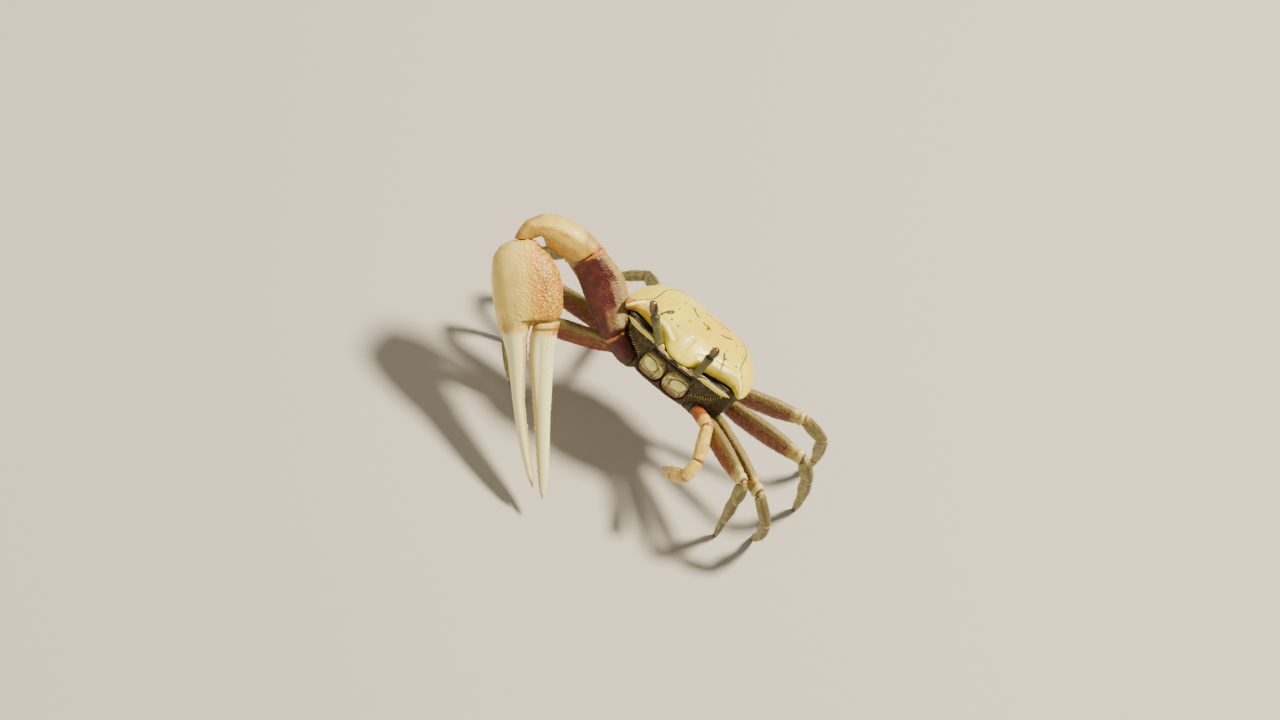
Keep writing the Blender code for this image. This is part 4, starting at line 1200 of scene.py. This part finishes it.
def carve_palm(skin, u, v, w, side, above):
    """Granules on the palm, large towards the movable finger, and teeth along the fixed finger."""
    broad, inner = ramp(0.2, 0.6, side), ramp(0.2, 0.6, -side)
    on_palm, finger = ramp(KNUCKLE + 3.0, KNUCKLE, u), ramp(KNUCKLE, KNUCKLE + 3.5, u)
    tan = ramp(-2.5, 3.8, v) * on_palm
    skin.push(-0.10 * hump(u, 1.4, 0.25)
              + 0.10 * broad * hump(v, -4.2, 0.3) * on_palm
              - 0.16 * broad * finger * hump(v, -2.2, 0.5) * ramp(38, 30, u)
              + 0.25 * inner * on_palm * hump(v - 0.22 * (u - 9) + 0.5, 0, 0.7))
    rise = granulate(
        skin, (0.5 * ramp(0.1, 0.7, tan) * np.maximum(broad, 0.6), 0.4, 0.25, 0.095, 31),
        (0.06 * ramp(0.5, 0.9, tan) * broad, 0.9, 0.36, 0.08, 35),
        (0.25 * on_palm * (1 - ramp(0.2, 0.6, tan)) * broad, 0.5, 0.2, 0.014, 32),
        (0.3 * inner * on_palm * ramp(-0.2, 0.5, v), 0.6, 0.3, 0.08, 33))
    skin.set(granule=np.maximum(rise, tooth_row(skin, u, v, w, 1, FIXED_TEETH)), tan=tan,
             hinge=hump(u, KNUCKLE + 0.05, 0.3) * ramp(-0.6, 0.2, v), finger=finger,
             # painted shade along the fixed finger's edge that faces the movable finger
             edge=ramp(0.3, 0.8, above) * ramp(KNUCKLE + 1.0, KNUCKLE + 3.0, u),
             smudge=hump(v, -2.2, 1.6) * hump(u, KNUCKLE + 0.7, 2.2) * broad,
             tip=ramp(34.0, 39.0, u))


def carve_finger(skin, u, v, w, side, above):
    """A groove along the movable finger, granules at its root and teeth along its edge."""
    away = ramp(0.2, 0.7, above)
    skin.push(-0.14 * ramp(0.2, 0.6, side) * hump(v - 0.62 * (4.6 - 0.1 * (u - 13)), 0, 0.45)
              * ramp(14.5, 17, u) * ramp(38, 32, u))
    rise = granulate(skin, (0.4 * away * ramp(27, 15, u), 0.42, 0.23, 0.08, 34))
    skin.set(granule=np.maximum(rise, tooth_row(skin, u, v, w, -1, MOVABLE_TEETH)),
             tan=away * ramp(24, 14, u), hinge=hump(u, HINGE, 0.3), finger=ramp(13.5, 16.0, u),
             # painted shade along the movable finger's edge that faces the fixed finger
             edge=ramp(0.3, 0.8, -above), tip=ramp(37.0, 41.0, u))


def make_claw():
    base, along, upper, outer = claw_axes()
    for node, voxel, soften in (("claw_right_palm", 0.13, 0.6), ("claw_right_dactyl", 0.12, 0.45)):
        skin = dense_skin(node, voxel, soften)
        offset = skin.points - base
        u, v, w = offset @ along, offset @ upper, offset @ outer
        normals = skin.normals()
        side, above = normals @ outer, normals @ upper
        if node == "claw_right_palm":
            carve_palm(skin, u, v, w, side, above)
        else:
            carve_finger(skin, u, v, w, side, above)
        finish_shell(node, skin, CLAW)


make_great_arm()
make_claw()


# ---- small claw

SMALL_ARM_ROOT = (7.0, -4.6, -7.1)            # on the trunk
SMALL_CLAW = {"ischium": "leg_rust", "merus": "arm_olive", "carpus": "arm_olive",
              "palm": "mouth_cream", "dactyl": "mouth_cream"}       # the segments, from the body out; the words beside them are not read


def make_small_claw():
    limbs = chain(["claw_left_" + segment for segment in SMALL_CLAW],
                  from_trunk(SMALL_ARM_ROOT), (1.0, 0.0, 0.0))
    for k, (segment, limb) in enumerate(zip(SMALL_CLAW, limbs)):
        skin, along, back, _ = limb_skin(limb, 0.07, 0.2)
        if segment == "ischium":
            skin.set(root=ramp(0.9, 0.3, along))
        if segment == "merus":
            front = ramp(0.0, -0.9, skin.normals() @ AXES[:, 0])
            skin.set(root=0.6 * front * ramp(0.75, 0.1, along))
        if segment in ("merus", "carpus"):
            skin.push(0.05 * ramp(0.82, 0.88, along) * ramp(0.98, 0.93, along)
                      - 0.04 * hump(along, 0.8, 0.02))
        if segment == "carpus":
            skin.set(crest=ramp(0.2, 0.9, back))
        if segment in ("palm", "dactyl"):
            skin.set(tip=ramp(0.85, 0.97, along))
        if segment != "dactyl":
            skin.set(joint=np.maximum(ramp(0.12, 0.02, along), ramp(0.88, 0.97, along)))
        if segment in ("merus", "carpus", "palm"):
            granulate(skin, (0.2 * ramp(0.2, 0.7, back), 0.3, 0.13, 0.04, 40 + k))
        finish_shell(limb.node, skin, HAND)
    for upper, lower in zip(limbs[:3], limbs[1:4]):
        make_joint(upper, lower, PALE_SKIN)


make_small_claw()


# ---- studio

VIEW_RIGHT = Vector((0.840, 0.455, 0.2963))
VIEW_BACK = Vector((0.0809, -0.6446, 0.7603))
FRAME_WIDTH = 198.2 * MM      # what the view spans at the crab
FRAME_LEFT = 8.42 * MM        # the view's middle, left of the trunk's middle and below it
FRAME_DOWN = 3.41 * MM
CAMERA_DISTANCE = 2.0
LIGHT_DISTANCE = 0.8
FLOOR_HALF = 3.0
SENSOR = 36.0                 # in millimetres, as Blender takes it
SKY_STRENGTH = 0.32


def make_camera():
    right = VIEW_RIGHT.normalized()
    back = (VIEW_BACK - right * VIEW_BACK.dot(right)).normalized()
    up = back.cross(right)
    middle = Vector(TRUNK) * MM - right * FRAME_LEFT - up * FRAME_DOWN
    camera = placed("camera", bpy.data.cameras.new("camera"))
    camera.data.sensor_width = SENSOR
    camera.data.lens = SENSOR * CAMERA_DISTANCE / FRAME_WIDTH
    camera.data.clip_end = 10.0
    camera.matrix_world = Matrix.Translation(middle + back * CAMERA_DISTANCE) @ Matrix(
        (right, up, back)).transposed().to_4x4()
    bpy.context.scene.camera = camera


def make_light(name, direction, size, energy, colour):
    light = bpy.data.lights.new(name, "AREA")
    light.shape = "DISK"
    light.size = size
    light.energy = energy
    light.color = linear(colour)[:3]
    lamp = placed(name, light)
    toward = Vector(direction).normalized()
    lamp.location = toward * LIGHT_DISTANCE
    lamp.rotation_euler = toward.to_track_quat("Z", "Y").to_euler()


def make_floor():
    mesh = bpy.data.meshes.new("floor")
    half = FLOOR_HALF
    mesh.from_pydata([(-half, -half, 0), (half, -half, 0), (half, half, 0), (-half, half, 0)],
                     [], [(0, 1, 2, 3)])
    floor = placed("floor", mesh)
    material = bpy.data.materials.new("matt_paper")       # no gloss, so the shadow is all it shows
    material.use_nodes = True
    shader = material.node_tree.nodes["Principled BSDF"]
    shader.inputs["Base Color"].default_value = linear("#c6c1b4")
    shader.inputs["Roughness"].default_value = 0.9
    mesh.materials.append(material)


def make_world():
    world = bpy.data.worlds.new("studio")
    world.use_nodes = True
    background = world.node_tree.nodes["Background"]
    background.inputs["Color"].default_value = linear("#f0ece4")
    background.inputs["Strength"].default_value = SKY_STRENGTH
    bpy.context.scene.world = world


make_camera()
# The key is small and high, like the sun, and stands behind the crab, on its left
make_light("key", (0.30, 0.24, 0.85), 0.14, 16.0, "#fff4dc")
make_light("fill", (-0.5, -0.8, 0.5), 0.9, 1.3, "#fff9f0")
make_floor()
make_world()
